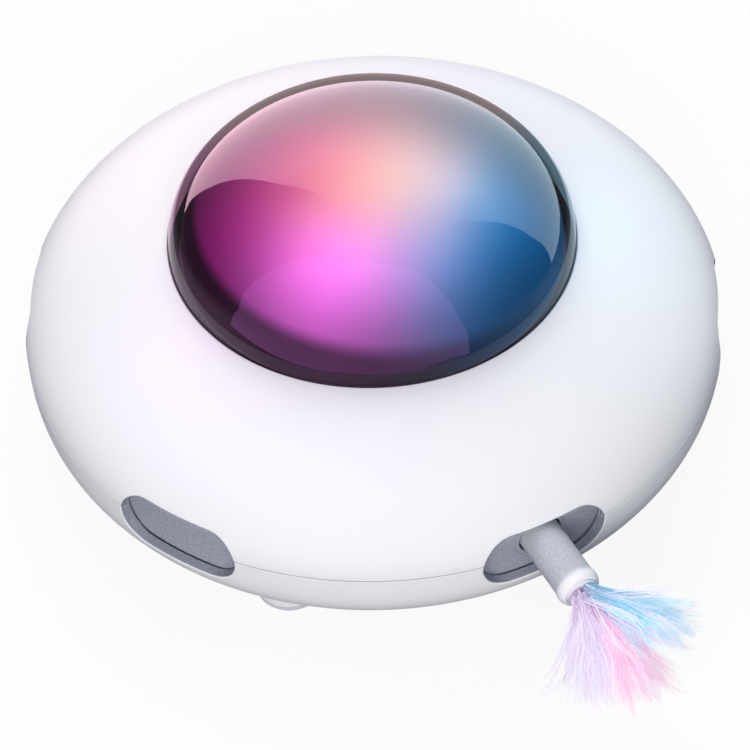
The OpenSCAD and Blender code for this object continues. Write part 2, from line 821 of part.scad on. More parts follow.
module guide_cover() {
    color("gainsboro") translate([0, 0, rail_top]) difference() {
        translate([-cover_x - cover_ear, cover_front, 0])
            cube([2 * (cover_x + cover_ear), cover_rear - cover_front, cover_t]);
        for (p = cover_screws)
            translate([p[0], p[1], -through]) cylinder(r = pass_r, h = cover_t + 2 * through);
    }
}

module guide_cover_screws() {
    color("silver") for (p = cover_screws)
        translate([p[0], p[1], rail_top + cover_t]) mirror([0, 0, 1]) screw(cover_t + cover_grip);
}

module tube_bush() {
    color("whitesmoke") difference() {
        intersection() {
            union() {
                translate([0, -drum_r, axis_z]) rotate([-90, 0, 0]) cylinder(r = bush_r, h = bush_l);
                translate([0, bush_flange_y, axis_z])
                    rotate([-90, 0, 0]) cylinder(r = bush_flange_r, h = bush_flange_t);
            }
            rotate_extrude() drum_section();
        }
        translate([0, -drum_r - through, axis_z]) rotate([-90, 0, 0]) {
            cylinder(r = lip_r + lip_gap, h = lip_seat + through);
            cylinder(r = tube_r + fit, h = bush_l + 2 * through);
        }
    }
}

// Carriage and teaser tube

module rack_outline() {
    pitch = PI * gear_module;
    half = (pitch / 2 - backlash) / 2;
    slope = tan(pressure);
    teeth = [ceil((rack_lead + travel) / pitch), ceil(rack_lead / pitch)];
    points = [for (t = [-teeth[0]:teeth[1] - 1])
        let (y = (t + 0.5) * pitch)
        each [[dedendum, y - half - dedendum * slope], [-addendum, y - half + addendum * slope],
              [-addendum, y + half - addendum * slope], [dedendum, y + half + dedendum * slope]]];
    front = carriage_rear - through;
    rear = points[len(points) - 1][1];
    translate([pitch_r, 0]) polygon(concat(
        [[rack_back - pitch_r, front], [dedendum, front]], points, [[rack_back - pitch_r, rear]]));
}

module carriage() {
    color("whitesmoke") difference() {
        union() {
            translate([-carriage_w / 2, carriage_front, carriage_bottom])
                cube([carriage_w, carriage_l, carriage_top - carriage_bottom]);
            translate([0, 0, gear_bottom + rack_edge])
                linear_extrude(gear_h - 2 * rack_edge) rack_outline();
        }
        translate([0, carriage_front - through, axis_z])
            rotate([-90, 0, 0]) cylinder(r = tube_r + fit, h = carriage_l - tube_stop + through);
        translate([0, carriage_front + carriage_l / 2, carriage_bottom - through])
            cylinder(r = screw_r + fit, h = carriage_top);
    }
}

module tube_pin() {
    color("silver") translate([0, carriage_front + carriage_l / 2, carriage_bottom + pin_inset])
        cylinder(r = screw_r, h = carriage_top - carriage_bottom - 2 * pin_inset);
}

module teaser_tube() {
    root_y = carriage_front + carriage_l - tube_stop - rail_gap;
    length = root_y - tip_y;
    bore_r = tube_bore_d / 2;
    color("gainsboro") difference() {
        translate([0, tip_y, axis_z]) rotate([-90, 0, 0]) rotate_extrude() {
            translate([bore_r, lip_round]) square([tube_r - bore_r, length - lip_round]);
            translate([bore_r, lip_round]) square([lip_r - bore_r, lip_l - 2 * lip_round]);
            translate([bore_r, 0]) square([lip_r - lip_round - bore_r, lip_l]);
            for (y = [lip_round, lip_l - lip_round])
                translate([lip_r - lip_round, y]) circle(r = lip_round);
        }
        translate([0, carriage_front + carriage_l / 2, 0]) cylinder(r = screw_r + fit, h = carriage_top);
    }
}

// Feather refill

module plume_socket() {
    color("mediumpurple") translate([0, plume_start, axis_z])
        rotate([-90, 0, 0]) cylinder(r = socket_r, h = socket_l);
}

// One feather as a full soft leaf of revolution with a slim root
module plume(step, length) {
    swell = plume_w / 2 - plume_root_r;
    seat = plume_gap + plume_root_r * sin(abs(step) * plume_fan + plume_droop);
    translate([step * plume_pitch, plume_start - seat, axis_z])
        rotate([90 + plume_droop, 0, 0])
            rotate([0, step * plume_fan, 0])
                rotate_extrude() polygon(concat(
                    [[0, 0]],
                    [for (k = [0:plume_steps - 1])
                        let (t = k / plume_steps, bulge = sin(180 * pow(t, plume_bias)))
                        [plume_root_r + swell * pow(bulge, plume_fullness), length * t]],
                    [[0, length]]));
}

module plume_lilac() color("thistle") plume(-1, plume_l * lilac_share);
module plume_pink() color("hotpink") plume(0, plume_l);
module plume_blue() color("skyblue") plume(1, plume_l * blue_share);

// Electronics

module battery_pad() {
    size = [battery_w - 2 * battery_pad_inset, battery_l - 2 * battery_pad_inset, battery_pad_t];
    color("dimgray") translate([battery_x, 0, floor_z + battery_pad_t / 2]) cube(size, center = true);
}

module battery_cell() {
    color("silver") translate([battery_x, 0, floor_z + battery_pad_t + battery[2] / 2])
        cube(battery, center = true);
}

module control_board() {
    color("darkgreen") difference() {
        translate([0, 0, board_z]) linear_extrude(board_t) {
            translate([board_in, -board_w / 2]) square([board_out - board_in, board_w]);
            translate([board_out - through, -tongue_w / 2]) square([tongue_l + through, tongue_w]);
        }
        for (p = standoffs)
            translate([p[0], p[1], board_z - through]) cylinder(r = pass_r, h = board_t + 2 * through);
    }
}

module control_board_screws() {
    color("silver") for (p = standoffs)
        translate([p[0], p[1], board_z + board_t]) mirror([0, 0, 1]) screw(board_t + board_grip);
}

module control_chips() {
    top = board_z + board_t;
    color("black") {
        for (c = chips) translate([c[0], c[1], top]) cube([c[2], c[3], c[4]]);
        translate([capacitor[0], capacitor[1], top]) cylinder(r = capacitor_r, h = capacitor_h);
    }
}

module usb_socket() {
    color("silver") translate([usb_mouth, 0, usb_z]) rotate([0, -90, 0]) rotate(90) difference() {
        linear_extrude(usb[2]) stadium(usb[0], usb[1]);
        translate([0, 0, -through])
            linear_extrude(usb[2] - usb_back + through)
                stadium(usb[0] - 2 * usb_wall, usb[1] - 2 * usb_wall);
    }
    color("silver") translate([usb_mouth - usb[2] / 2, 0, usb_z])
        cube([usb[2] - 2 * usb_back - 2 * fit, usb_tongue[0], usb_tongue[1]], center = true);
}

module switch_body() {
    color("black") difference() {
        translate([button_x - switch_size[0] / 2, -switch_size[1] / 2, board_z - switch_h])
            cube([switch_size[0], switch_size[1], switch_h]);
        translate([button_x, 0, 0])
            cylinder(r = button_stem_r + fit, h = stem_top + button_travel + stem_end);
    }
}

module power_button() {
    color("gainsboro") translate([button_x, 0, 0]) {
        translate([0, 0, underside_gap - button_proud])
            cylinder(r = button_r, h = flange_z + button_flange_t - underside_gap + button_proud);
        translate([0, 0, flange_z]) cylinder(r = button_r + button_flange, h = button_flange_t);
        translate([0, 0, flange_z]) cylinder(r = button_stem_r, h = button_flange_t + button_stem);
    }
}

module vibration_motor() {
    color("silver") translate([-shaker_l / 2, shaker_y, shaker_z])
        rotate([0, 90, 0]) cylinder(r = shaker_r, h = shaker_l);
}

module eccentric_weight() {
    color("goldenrod") translate([shaker_l / 2, shaker_y, shaker_z]) rotate([0, 90, 0]) {
        cylinder(r = weight_pin_r, h = weight_gap + weight_l);
        translate([0, 0, weight_gap]) difference() {
            cylinder(r = weight_r, h = weight_l);
            translate([-2 * weight_r - weight_flat, -weight_r, -through])
                cube([2 * weight_r, 2 * weight_r, weight_l + 2 * through]);
        }
    }
}

module battery_lead() color("firebrick") lead(battery_route);
module motor_lead() color("royalblue") lead(motor_route);
module vibration_lead() color("royalblue") lead(shaker_route);

lower_shell();
upper_shell();
dome_lens();
light_diffuser();
dome_seal();
light_tray();
led_board();
leds();
led_board_screws();
light_tray_screws();
motor_tower();
motor_tower_screws();
motor_can();
gearbox();
motor_cap();
motor_cap_screws();
friction_ring();
battery_cell();
battery_pad();
control_board();
control_chips();
control_board_screws();
usb_socket();
switch_body();
vibration_motor();
led_ribbon();
battery_lead();
motor_lead();
vibration_lead();
foot_front_left();
foot_front_right();
foot_rear_right();
foot_rear_left();
turntable();
guide_cover();
guide_cover_screws();
tube_bush();
carriage();
teaser_tube();
tube_pin();
plume_socket();
plume_blue();
plume_pink();
plume_lilac();
drive_gear();
motor_shaft();
power_button();
eccentric_weight();
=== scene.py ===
import math
import random

import bmesh
import bpy
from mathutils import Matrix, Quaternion, Vector


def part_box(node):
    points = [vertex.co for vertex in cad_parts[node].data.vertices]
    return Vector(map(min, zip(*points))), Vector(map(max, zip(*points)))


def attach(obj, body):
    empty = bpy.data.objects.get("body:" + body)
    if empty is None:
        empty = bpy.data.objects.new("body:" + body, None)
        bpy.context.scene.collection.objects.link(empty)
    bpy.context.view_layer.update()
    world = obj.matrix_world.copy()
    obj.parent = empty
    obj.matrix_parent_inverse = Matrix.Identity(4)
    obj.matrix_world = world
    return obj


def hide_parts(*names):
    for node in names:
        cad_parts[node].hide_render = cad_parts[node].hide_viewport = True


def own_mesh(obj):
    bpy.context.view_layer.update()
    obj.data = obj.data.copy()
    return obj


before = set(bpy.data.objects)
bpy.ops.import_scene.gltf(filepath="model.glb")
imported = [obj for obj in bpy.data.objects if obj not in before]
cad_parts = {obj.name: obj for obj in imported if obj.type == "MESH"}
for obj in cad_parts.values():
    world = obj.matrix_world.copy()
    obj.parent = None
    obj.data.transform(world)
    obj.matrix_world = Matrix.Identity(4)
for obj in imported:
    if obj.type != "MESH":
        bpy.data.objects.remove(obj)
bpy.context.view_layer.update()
mm = 0.001
weld = 0.002 * mm  # points closer than this are one
print("frame loaded with", len(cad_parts), "nodes")


# camera first: a long lens, a little over 45 degrees down
camera = {
    "turn": 243.75,  # degrees round the dome's axis
    "rise": 46.594,
    "range": 740 * mm,
    "lens": 133.73,
    "sensor": 36,
    "roll": -1.726,
    "shift": (0.0011, -0.0930),
}
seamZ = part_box("lower_shell")[1].z
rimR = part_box("lower_shell")[1].x
turn, rise = math.radians(camera["turn"]), math.radians(camera["rise"])
toCamera = Vector((math.cos(rise) * math.cos(turn), math.cos(rise) * math.sin(turn), math.sin(rise)))
rolled = Quaternion((0, 0, 1), math.radians(camera["roll"]))
bpy.ops.object.select_all(action="DESELECT")
bpy.ops.object.camera_add(location=Vector((0, 0, seamZ)) + camera["range"] * toCamera)
viewer = bpy.context.object
viewer.name = "viewer"
viewer.rotation_mode = "QUATERNION"
viewer.rotation_quaternion = toCamera.to_track_quat("Z", "Y") @ rolled
viewer.data.sensor_width = camera["sensor"]
viewer.data.lens = camera["lens"]
viewer.data.shift_x, viewer.data.shift_y = camera["shift"]
bpy.context.scene.camera = viewer
print("camera placed")


# shader maths: a socket that adds its own Math nodes
class Wire:
    def __init__(self, tree, socket=None):
        self.tree = tree
        self.socket = socket

    def node(self, kind, settings=None, values=None, out=0):
        made = self.tree.nodes.new(kind)
        for key, value in (settings or {}).items():
            setattr(made, key, value)
        for key, value in (values or {}).items():
            if isinstance(value, Wire):
                self.tree.links.new(value.socket, made.inputs[key])
            else:
                made.inputs[key].default_value = value
        return Wire(self.tree, made.outputs[out])

    def maths(self, operation, first, second):
        return self.node("ShaderNodeMath", {"operation": operation}, {0: first, 1: second})

    def __add__(self, other): return self.maths("ADD", self, other)
    def __radd__(self, other): return self.maths("ADD", other, self)
    def __sub__(self, other): return self.maths("SUBTRACT", self, other)
    def __rsub__(self, other): return self.maths("SUBTRACT", other, self)
    def __mul__(self, other): return self.maths("MULTIPLY", self, other)
    def __rmul__(self, other): return self.maths("MULTIPLY", other, self)
    def __truediv__(self, other): return self.maths("DIVIDE", self, other)
    def __rtruediv__(self, other): return self.maths("DIVIDE", other, self)

    def exponent(self):
        return self.node("ShaderNodeMath", {"operation": "EXPONENT"}, {0: self})

    def part(self, letter):
        return self.node("ShaderNodeSeparateXYZ", None, {0: self}, letter)

    def dot(self, direction):
        return self.node("ShaderNodeVectorMath", {"operation": "DOT_PRODUCT"}, {0: self, 1: direction}, "Value")

    def fromAxis(self, x=0, y=0):  # square of the distance from an upright axis
        offX, offY = self.part("X") - x, self.part("Y") - y
        return offX * offX + offY * offY

    def noise(self, scale, detail=2.0, rough=0.5):
        values = {"Vector": self, "Scale": scale, "Detail": detail, "Roughness": rough}
        return self.node("ShaderNodeTexNoise", None, values)

    def stretched(self, scale):
        return self.node("ShaderNodeMapping", None, {"Vector": self, "Scale": scale})

    def fade(self, start, end):  # 0 at start, 1 at end, eased
        return self.node("ShaderNodeMapRange", {"interpolation_type": "SMOOTHSTEP"},
                         {"Value": self, "From Min": start, "From Max": end})

    def specks(self, scale):
        return self.noise(scale, 2, 0.6).fade(0.3, 0.7)

    def mix(self, low, high, blend="MIX"):  # this value blends two colours
        low, high = (colour if isinstance(colour, Wire) else (*colour, 1) for colour in (low, high))
        return self.node("ShaderNodeMix", {"data_type": "RGBA", "blend_type": blend}, {0: self, 6: low, 7: high}, 2)

    def bump(self, strength, depth):
        return self.node("ShaderNodeBump", None, {"Height": self, "Strength": strength, "Distance": depth})


def newFinish(name, fixed):
    made = bpy.data.materials.new(name)
    made.use_nodes = True
    shader = made.node_tree.nodes["Principled BSDF"]
    for key, value in fixed.items():
        shader.inputs[key].default_value = value
    return made, shader, Wire(made.node_tree).node("ShaderNodeTexCoord", None, None, "Object")


def feed(shader, wires):
    for key, wire in wires.items():
        wire.tree.links.new(wire.socket, shader.inputs[key])


def shaded(colour, factor):
    return tuple(min(1, channel * factor) for channel in colour)


# a moulded, turned, woven or pressed finish: its colour drifts, and a fine grain stands on it
grained = {
    "ior": 1.46,
    "driftScale": 45,
    "driftShare": 0.6,  # of the change in colour; the grain has the rest
    "grainRough": 0.25,
    "driftRough": 0.1,
}


def grainFinish(name, colour, rough, grain=900, depth=0.02, drift=0.04, metal=0.0, stretch=(1, 1, 1),
                strength=0.35):
    made, shader, place = newFinish(name, {"Metallic": metal, "IOR": grained["ior"]})
    fine = place.stretched(stretch).noise(grain, 3)
    broad = place.noise(grained["driftScale"], 2)
    change = broad * grained["driftShare"] + fine * (1 - grained["driftShare"])
    feed(shader, {
        "Base Color": change.mix(shaded(colour, 1 - drift), shaded(colour, 1 + drift)),
        "Roughness": (fine - 0.5) * grained["grainRough"] * rough + rough + (broad - 0.5) * grained["driftRough"],
        "Normal": fine.bump(strength, depth * mm),
    })
    return made


print("shader tools ready")


# modelling helpers
def deselect():
    if bpy.context.object and bpy.context.object.mode != "OBJECT":
        bpy.ops.object.mode_set(mode="OBJECT")
    bpy.ops.object.select_all(action="DESELECT")


def pick(piece):
    deselect()
    piece.select_set(True)
    bpy.context.view_layer.objects.active = piece


def settle():  # what was just added keeps its place in its mesh
    bpy.ops.object.transform_apply(location=True, rotation=True, scale=True)
    return bpy.context.object


def applied(piece, kind, **settings):
    pick(piece)
    bpy.ops.object.modifier_add(type=kind)
    modifier = piece.modifiers[-1]
    for key, value in settings.items():
        setattr(modifier, key, value)
    bpy.ops.object.modifier_apply(modifier=modifier.name)


def facedOut(piece):
    pick(piece)
    bpy.ops.object.mode_set(mode="EDIT")
    bpy.ops.mesh.select_all(action="SELECT")
    bpy.ops.mesh.normals_make_consistent(inside=False)
    bpy.ops.object.mode_set(mode="OBJECT")


def cut(piece, tool, operation="DIFFERENCE", keep=False):
    applied(piece, "BOOLEAN", operation=operation, object=tool, solver="EXACT")
    if not keep:
        bpy.data.objects.remove(tool)


def joined(pieces, name):
    pick(pieces[0])
    for piece in pieces:
        piece.select_set(True)
    if len(pieces) > 1:
        bpy.ops.object.join()
    pieces[0].name = name
    return pieces[0]


# a piece turned about an axis: its outline is drawn point by point and spun
def turned(name, outline, steps, axisAt=(0, 0, 0), along=(0, 0, 1), ring=True):
    deselect()
    bpy.ops.mesh.primitive_plane_add(size=mm)
    piece = bpy.context.object
    piece.name = name
    bpy.ops.object.mode_set(mode="EDIT")
    bpy.ops.mesh.select_all(action="SELECT")
    bpy.ops.mesh.merge(type="CENTER")
    bpy.ops.transform.translate(value=outline[0])
    for here, there in zip(outline, outline[1:]):
        bpy.ops.mesh.extrude_region_move(TRANSFORM_OT_translate={"value": there - here})
    if ring:
        sketch = bmesh.from_edit_mesh(piece.data)
        sketch.verts.ensure_lookup_table()
        bpy.ops.mesh.select_all(action="DESELECT")
        sketch.verts[0].select = sketch.verts[len(outline) - 1].select = True
        sketch.select_flush_mode()
        bpy.ops.mesh.edge_face_add()
    bpy.ops.mesh.select_all(action="SELECT")
    bpy.ops.mesh.spin(steps=steps, angle=2 * math.pi, center=axisAt, axis=along)
    bpy.ops.mesh.select_all(action="SELECT")
    bpy.ops.mesh.remove_doubles(threshold=weld)
    bpy.ops.mesh.normals_make_consistent(inside=False)
    bpy.ops.object.mode_set(mode="OBJECT")
    return piece


def upright(points, x=0, y=0):  # radius and height, in the plane of the turned outline
    return [Vector((x + r, y, z)) for r, z in points]


def arc(centreR, centreZ, radius, start, end, steps):
    angles = [math.radians(start + (end - start) * k / steps) for k in range(steps + 1)]
    return [(centreR + radius * math.cos(a), centreZ + radius * math.sin(a)) for a in angles]


def spread(start, end, steps, ease=1.0):
    return [start + (end - start) * (k / steps) ** ease for k in range(steps + 1)]


def smoothed(piece, angle=35):
    pick(piece)
    bpy.ops.object.shade_smooth_by_angle(angle=math.radians(angle))
    applied(piece, "WEIGHTED_NORMAL", mode="FACE_AREA_WITH_ANGLE", weight=60, keep_sharp=True)


def dress(piece, body, finish, slot, *nodes):
    piece.data.materials.clear()
    piece.data.materials.append(finish)
    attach(piece, body)
    if nodes:
        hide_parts(*nodes)
    return piece


def rod(centre, radius, low, high, sides=48):
    deselect()
    bpy.ops.mesh.primitive_cylinder_add(vertices=sides, radius=radius, depth=high - low,
                                        location=(centre[0], centre[1], (low + high) / 2))
    return settle()


# body shells
shell = {
    "upperRise": 32.6 * mm,
    "lowerDrop": 35.7 * mm,
    "bluntR": 1.7,
    "bluntZ": 3.4,
    "wall": 2.4 * mm,
    "belt": 3.3 * mm,
    "beltDrop": 3 * mm,  # the belt's depth under the seam
    "seamEdge": 0.26 * mm,
    "seamDeep": 0.8 * mm,  # groove between the two shells
    "seamHalf": 0.14 * mm,
    "underside": 3.2 * mm,
    "flatEase": ((1.6 * mm, 0.42 * mm), (0, 0.1 * mm), (-1.6 * mm, 0)),  # out and up, where the flat starts
    "flatBreak": 30 * mm,  # a ring of points on the flat underside
    "floorBreak": 40 * mm,  # and one on the inner floor
    "domeGap": 0.25 * mm,
    "ledgeIn": 47.5 * mm,
    "ledgeThick": 2.5 * mm,
    "openEdge": 0.35 * mm,
    "tongue": (0.9 * mm, 1.1 * mm, 2.2 * mm),  # out from the cavity, width, depth
    "tongueGap": 0.15 * mm,
    "curveSteps": 44,
    "innerSteps": 36,
    "floorSteps": 30,
    "turnSteps": 256,
}
slot = {
    "width": 34.2 * mm,
    "height": 15.9 * mm,
    "drop": 1.5 * mm,
    "count": 6,
    "first": 270,  # degrees, the teaser's slot
    "edge": 0.5 * mm,  # rounding of the rim
    "edgeTurns": (0, 14, 28, 42, 56, 70, 90),
    "overlap": 0.012 * mm,
    "reach": (-11 * mm, 4 * mm),  # the cutter, in and out from the skin
    "points": 112,
}
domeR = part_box("dome_lens")[1].x
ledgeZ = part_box("light_diffuser")[0].z
cavityR = rimR - shell["belt"]


def upperR(z):
    return rimR * math.sqrt(max(0, 1 - ((z - seamZ) / shell["upperRise"]) ** 2))


def lowerR(z):
    share = max(0, (seamZ - z) / shell["lowerDrop"])
    return rimR * max(0, 1 - share ** shell["bluntZ"]) ** (1 / shell["bluntR"])


def skinR(z):
    return upperR(z) if z > seamZ else lowerR(z)


def insideR(z, inset):  # radius of a face that lies a wall's thickness inside the skin
    step = 0.1 * mm if z >= seamZ else -0.1 * mm
    return skinR(z) - inset * math.hypot(1, (skinR(z + step) - skinR(z)) / step)


def innerR(z):  # the shells' inner face, straight behind the belt
    return min(cavityR, insideR(z, shell["wall"]))


def seamGroove(side):  # half of the groove: 1 above the seam, -1 below
    deepR, lipZ = rimR - shell["seamDeep"], seamZ + side * shell["seamHalf"]
    return [(deepR, seamZ), (deepR, lipZ), (rimR - shell["seamHalf"], lipZ)]


openR = domeR + shell["domeGap"]
wellR = openR + shell["wall"]
tongueR = cavityR + shell["tongue"][0]
tongueOutR = tongueR + shell["tongue"][1]
tongueZ = seamZ - shell["tongue"][2]
openEdge = shell["openEdge"]
topAngle = math.acos((openR + openEdge) / rimR)
lowAngle = math.asin(shell["seamEdge"] / shell["upperRise"])
upperSkin = [(rimR * math.cos(a), seamZ + shell["upperRise"] * math.sin(a))
             for a in spread(lowAngle, topAngle, shell["curveSteps"])]
ledgeLow = ledgeZ - shell["ledgeThick"]
upperInner = [(innerR(z), z) for z in spread(ledgeLow, seamZ, shell["innerSteps"], 0.8) if innerR(z) > wellR]
upperOutline = (
    [(tongueR, seamZ), (tongueR, tongueZ), (tongueOutR, tongueZ), (tongueOutR, seamZ)]
    + seamGroove(1)
    + upperSkin
    + arc(openR + openEdge, upperSkin[-1][1] - openEdge, openEdge, 70, 180, 5)
    + [(openR, ledgeZ), (shell["ledgeIn"], ledgeZ), (shell["ledgeIn"], ledgeLow), (wellR, ledgeLow)]
    + upperInner)
upperShell = turned("upperShell", upright(upperOutline), shell["turnSteps"])

# lower shell: curve, flat underside, inner floor and belt
underZ, gap = shell["underside"], shell["tongueGap"]
floorZ = underZ + shell["wall"]
lowerSkin = [(lowerR(z), z) for z in spread(seamZ - shell["seamEdge"], underZ, shell["curveSteps"], 0.75)]
flatR = lowerSkin[-1][0]
lowerOutline = (
    seamGroove(-1)
    + lowerSkin[:-1]
    + [(flatR + out, underZ + up) for out, up in shell["flatEase"]]
    + [(shell["flatBreak"], underZ), (0, underZ), (0, floorZ), (shell["floorBreak"], floorZ)]
    + [(innerR(z), z) for z in spread(floorZ, seamZ - shell["beltDrop"], shell["floorSteps"])]
    + [(cavityR, seamZ), (tongueR - gap, seamZ), (tongueR - gap, tongueZ - gap),
       (tongueOutR + gap, tongueZ - gap), (tongueOutR + gap, seamZ)])
lowerShell = turned("lowerShell", upright(lowerOutline), shell["turnSteps"])
print("shells turned")


# slot cutters with a rounded mouth that follows the body's skin
def stadium(share, grow):
    half = (slot["width"] - slot["height"]) / 2
    radius = slot["height"] / 2
    bow = math.pi * radius
    length = (share % 1) * (4 * half + 2 * bow)
    for sign in (1, -1):
        if length < bow:
            angle = length / radius - math.pi / 2
            return sign * (half + (radius + grow) * math.cos(angle)), sign * (radius + grow) * math.sin(angle)
        length -= bow
        if length < 2 * half:
            return sign * (half - length), sign * (radius + grow)
        length -= 2 * half
    return half, -radius - grow


slotZ = seamZ - slot["drop"]
mouth = [(slot["overlap"] - slot["edge"] * (1 - math.sin(a)), slot["edge"] * (1 - math.cos(a)))
         for a in map(math.radians, slot["edgeTurns"])]
rings = [(slot["reach"][0], 0)] + mouth + [(slot["reach"][1], slot["edge"])]
cutters = []
for k in range(slot["count"]):
    facing = math.radians(slot["first"] + 360 / slot["count"] * k)
    outward = Vector((math.cos(facing), math.sin(facing), 0))
    across = Vector((-math.sin(facing), math.cos(facing), 0))
    deselect()
    bpy.ops.mesh.primitive_circle_add(vertices=slot["points"], radius=1, fill_type="NGON")
    cutter = bpy.context.object
    bpy.ops.object.mode_set(mode="EDIT")
    bpy.ops.mesh.select_all(action="SELECT")
    for ring in rings[1:]:
        bpy.ops.mesh.extrude_region_move(TRANSFORM_OT_translate={"value": (0, 0, 1)})
    bpy.ops.object.mode_set(mode="OBJECT")
    for point in cutter.data.vertices:
        reach, grow = rings[round(point.co.z)]
        u, v = stadium(math.atan2(point.co.y, point.co.x) / (2 * math.pi), grow)
        depth = math.sqrt(skinR(slotZ + v) ** 2 - u * u) + reach
        point.co = outward * depth + across * u + Vector((0, 0, slotZ + v))
    facedOut(cutter)
    cutters.append(cutter)
slotTool = joined(cutters, "slotTool")
cut(upperShell, slotTool, keep=True)

# foot bosses, and the openings in the underside and the side
feet = {
    "nodes": ("foot_front_left", "foot_front_right", "foot_rear_right", "foot_rear_left"),
    "rim": 0.4 * mm,  # how far the boss stands round a foot
    "bossTop": 9 * mm,
    "thick": 2.6 * mm,
    "round": 1.0 * mm,
    "edge": 0.2 * mm,
    "dish": 0.3 * mm,
    "dishShares": (0.62, 0.7),
    "stem": 2.4 * mm,
    "stemEdge": 0.3 * mm,
    "steps": 72,
}
underside = {
    "screwRing": 16.5 * mm,
    "screwTurns": (60, 180, 300),
    "headHole": 2.1 * mm,
    "headDeep": 1.2 * mm,
    "pass": 1.2 * mm,
    "buttonR": 4 * mm,
    "buttonGap": 0.3 * mm,
    "socketGap": 0.3 * mm,
    "socketDeep": 8 * mm,
    "socketRound": 0.98,  # of the opening's half height
}
bosses = []
for node in feet["nodes"]:
    low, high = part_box(node)
    bossR = (high.x - low.x) / 2 + feet["rim"]
    bosses.append(rod((low + high) / 2, bossR, feet["thick"], feet["bossTop"], feet["steps"]))
cut(lowerShell, joined(bosses, "bossTool"), "UNION")
cut(lowerShell, slotTool)
openings = []
for angle in map(math.radians, underside["screwTurns"]):
    at = (underside["screwRing"] * math.cos(angle), underside["screwRing"] * math.sin(angle))
    openings.append(rod(at, underside["headHole"], 0, underZ + underside["headDeep"]))
    cut(lowerShell, rod(at, underside["pass"], underZ, floorZ + mm))
buttonLow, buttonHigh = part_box("power_button")
buttonAt = (buttonLow + buttonHigh) / 2
buttonR = underside["buttonR"]
openings.append(rod(buttonAt, buttonR + underside["buttonGap"], 0, floorZ + mm))
usbLow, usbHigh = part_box("usb_socket")
usbAt = (usbLow + usbHigh) / 2
usbHalf = (usbHigh - usbLow) / 2 + Vector((0, 1, 1)) * underside["socketGap"]
deselect()
bpy.ops.mesh.primitive_cube_add(size=2, location=(usbHigh.x, usbAt.y, usbAt.z))
bpy.context.object.scale = (underside["socketDeep"], usbHalf.y, usbHalf.z)
mouthTool = settle()
bpy.ops.object.mode_set(mode="EDIT")
lengthwise = bmesh.from_edit_mesh(mouthTool.data)
for side in lengthwise.edges:
    side.select = abs(side.verts[0].co.x - side.verts[1].co.x) > mm
lengthwise.select_flush_mode()
bpy.ops.mesh.select_mode(type="EDGE")
bpy.ops.mesh.bevel(offset=usbHalf.z * underside["socketRound"], segments=10)
bpy.ops.mesh.select_mode(type="VERT")
deselect()
openings.append(mouthTool)
cut(lowerShell, joined(openings, "openingTool"))
for piece in (upperShell, lowerShell):
    smoothed(piece)
print("slots and openings cut")

# satin white moulding: a faint mottle, a fine spark texture and a soft gloss
satin = {
    "fixed": {"IOR": 1.46, "Specular IOR Level": 0.07},
    "tints": ((0.845, 0.85, 0.865), (0.865, 0.868, 0.88)),
    "mottle": 30,
    "spark": 2600,
    "rough": (0.38, 0.06, 0.05),  # and its change with the mottle and the spark
    "bump": (0.06, 0.01 * mm),
}
whitePlastic, shader, place = newFinish("shellWhite", satin["fixed"])
mottle = place.noise(satin["mottle"], 3)
spark = place.noise(satin["spark"], 2)
rough, byMottle, bySpark = satin["rough"]
feed(shader, {
    "Base Color": mottle.mix(*satin["tints"]),
    "Roughness": rough + (mottle - 0.5) * byMottle + (spark - 0.5) * bySpark,
    "Normal": spark.bump(*satin["bump"]),
})
# speckled grey of the drum
speckled = {
    "fixed": {"IOR": 1.45, "Specular IOR Level": 0.07},
    "tints": ((0.26, 0.28, 0.325), (0.40, 0.42, 0.475)),
    "speck": 1700,
    "speckShare": 0.7,  # of the change in colour; a broad drift has the rest
    "drift": 60,
    "rough": (0.62, 0.2),
    "bump": (0.35, 0.02 * mm),
}
greyPlastic, shader, place = newFinish("drumGrey", speckled["fixed"])
speck = place.specks(speckled["speck"])
broad = place.noise(speckled["drift"], 2)
change = speck * speckled["speckShare"] + broad * (1 - speckled["speckShare"])
feed(shader, {
    "Base Color": change.mix(*speckled["tints"]),
    "Roughness": speckled["rough"][0] + (speck - 0.5) * speckled["rough"][1],
    "Normal": speck.bump(*speckled["bump"]),
})
dress(upperShell, "base", whitePlastic, "shell_white", "upper_shell")
dress(lowerShell, "base", whitePlastic, "shell_white", "lower_shell")

# the walls of the slots are grey, like the drum behind them, and partly painted shade in the slots; the groove of the
# seam is grey as a painted shadow line
greyShadeWalls = {
    "seamSlack": 1.1,  # of the groove's half width
    "seamIn": 0.05 * mm,
    "slotIn": 0.6 * mm,  # past the inner face, and short of the skin
    "slotOut": 0.3 * mm,
    "slotSlack": 0.1 * mm,
    "upright": 0.5,  # a wall faces across the radius at least this much
}


def seamWall(at):
    radius = math.hypot(at.x, at.y)
    return (abs(at.z - seamZ) < shell["seamHalf"] * greyShadeWalls["seamSlack"]
            and rimR - shell["seamDeep"] - greyShadeWalls["seamIn"] < radius < rimR - shell["seamHalf"])


def slotWall(at, normal):
    radius = math.hypot(at.x, at.y)
    sector = 2 * math.pi / slot["count"]
    aside = (math.atan2(at.y, at.x) - math.radians(slot["first"]) + sector / 2) % sector - sector / 2
    return (innerR(at.z) - greyShadeWalls["slotIn"] < radius < skinR(at.z) - greyShadeWalls["slotOut"]
            and abs(normal.x * at.x + normal.y * at.y) < greyShadeWalls["upright"] * radius
            and abs(at.z - slotZ) < slot["height"] / 2 + greyShadeWalls["slotSlack"]
            and abs(radius * math.sin(aside)) < slot["width"] / 2 + greyShadeWalls["slotSlack"])


# faces of the slot walls and of the seam's groove take the grey: painted shade
for piece in (upperShell, lowerShell):
    piece.data.materials.append(greyPlastic)
    for face in piece.data.polygons:
        face.material_index = 1 if slotWall(face.center, face.normal) or seamWall(face.center) else 0


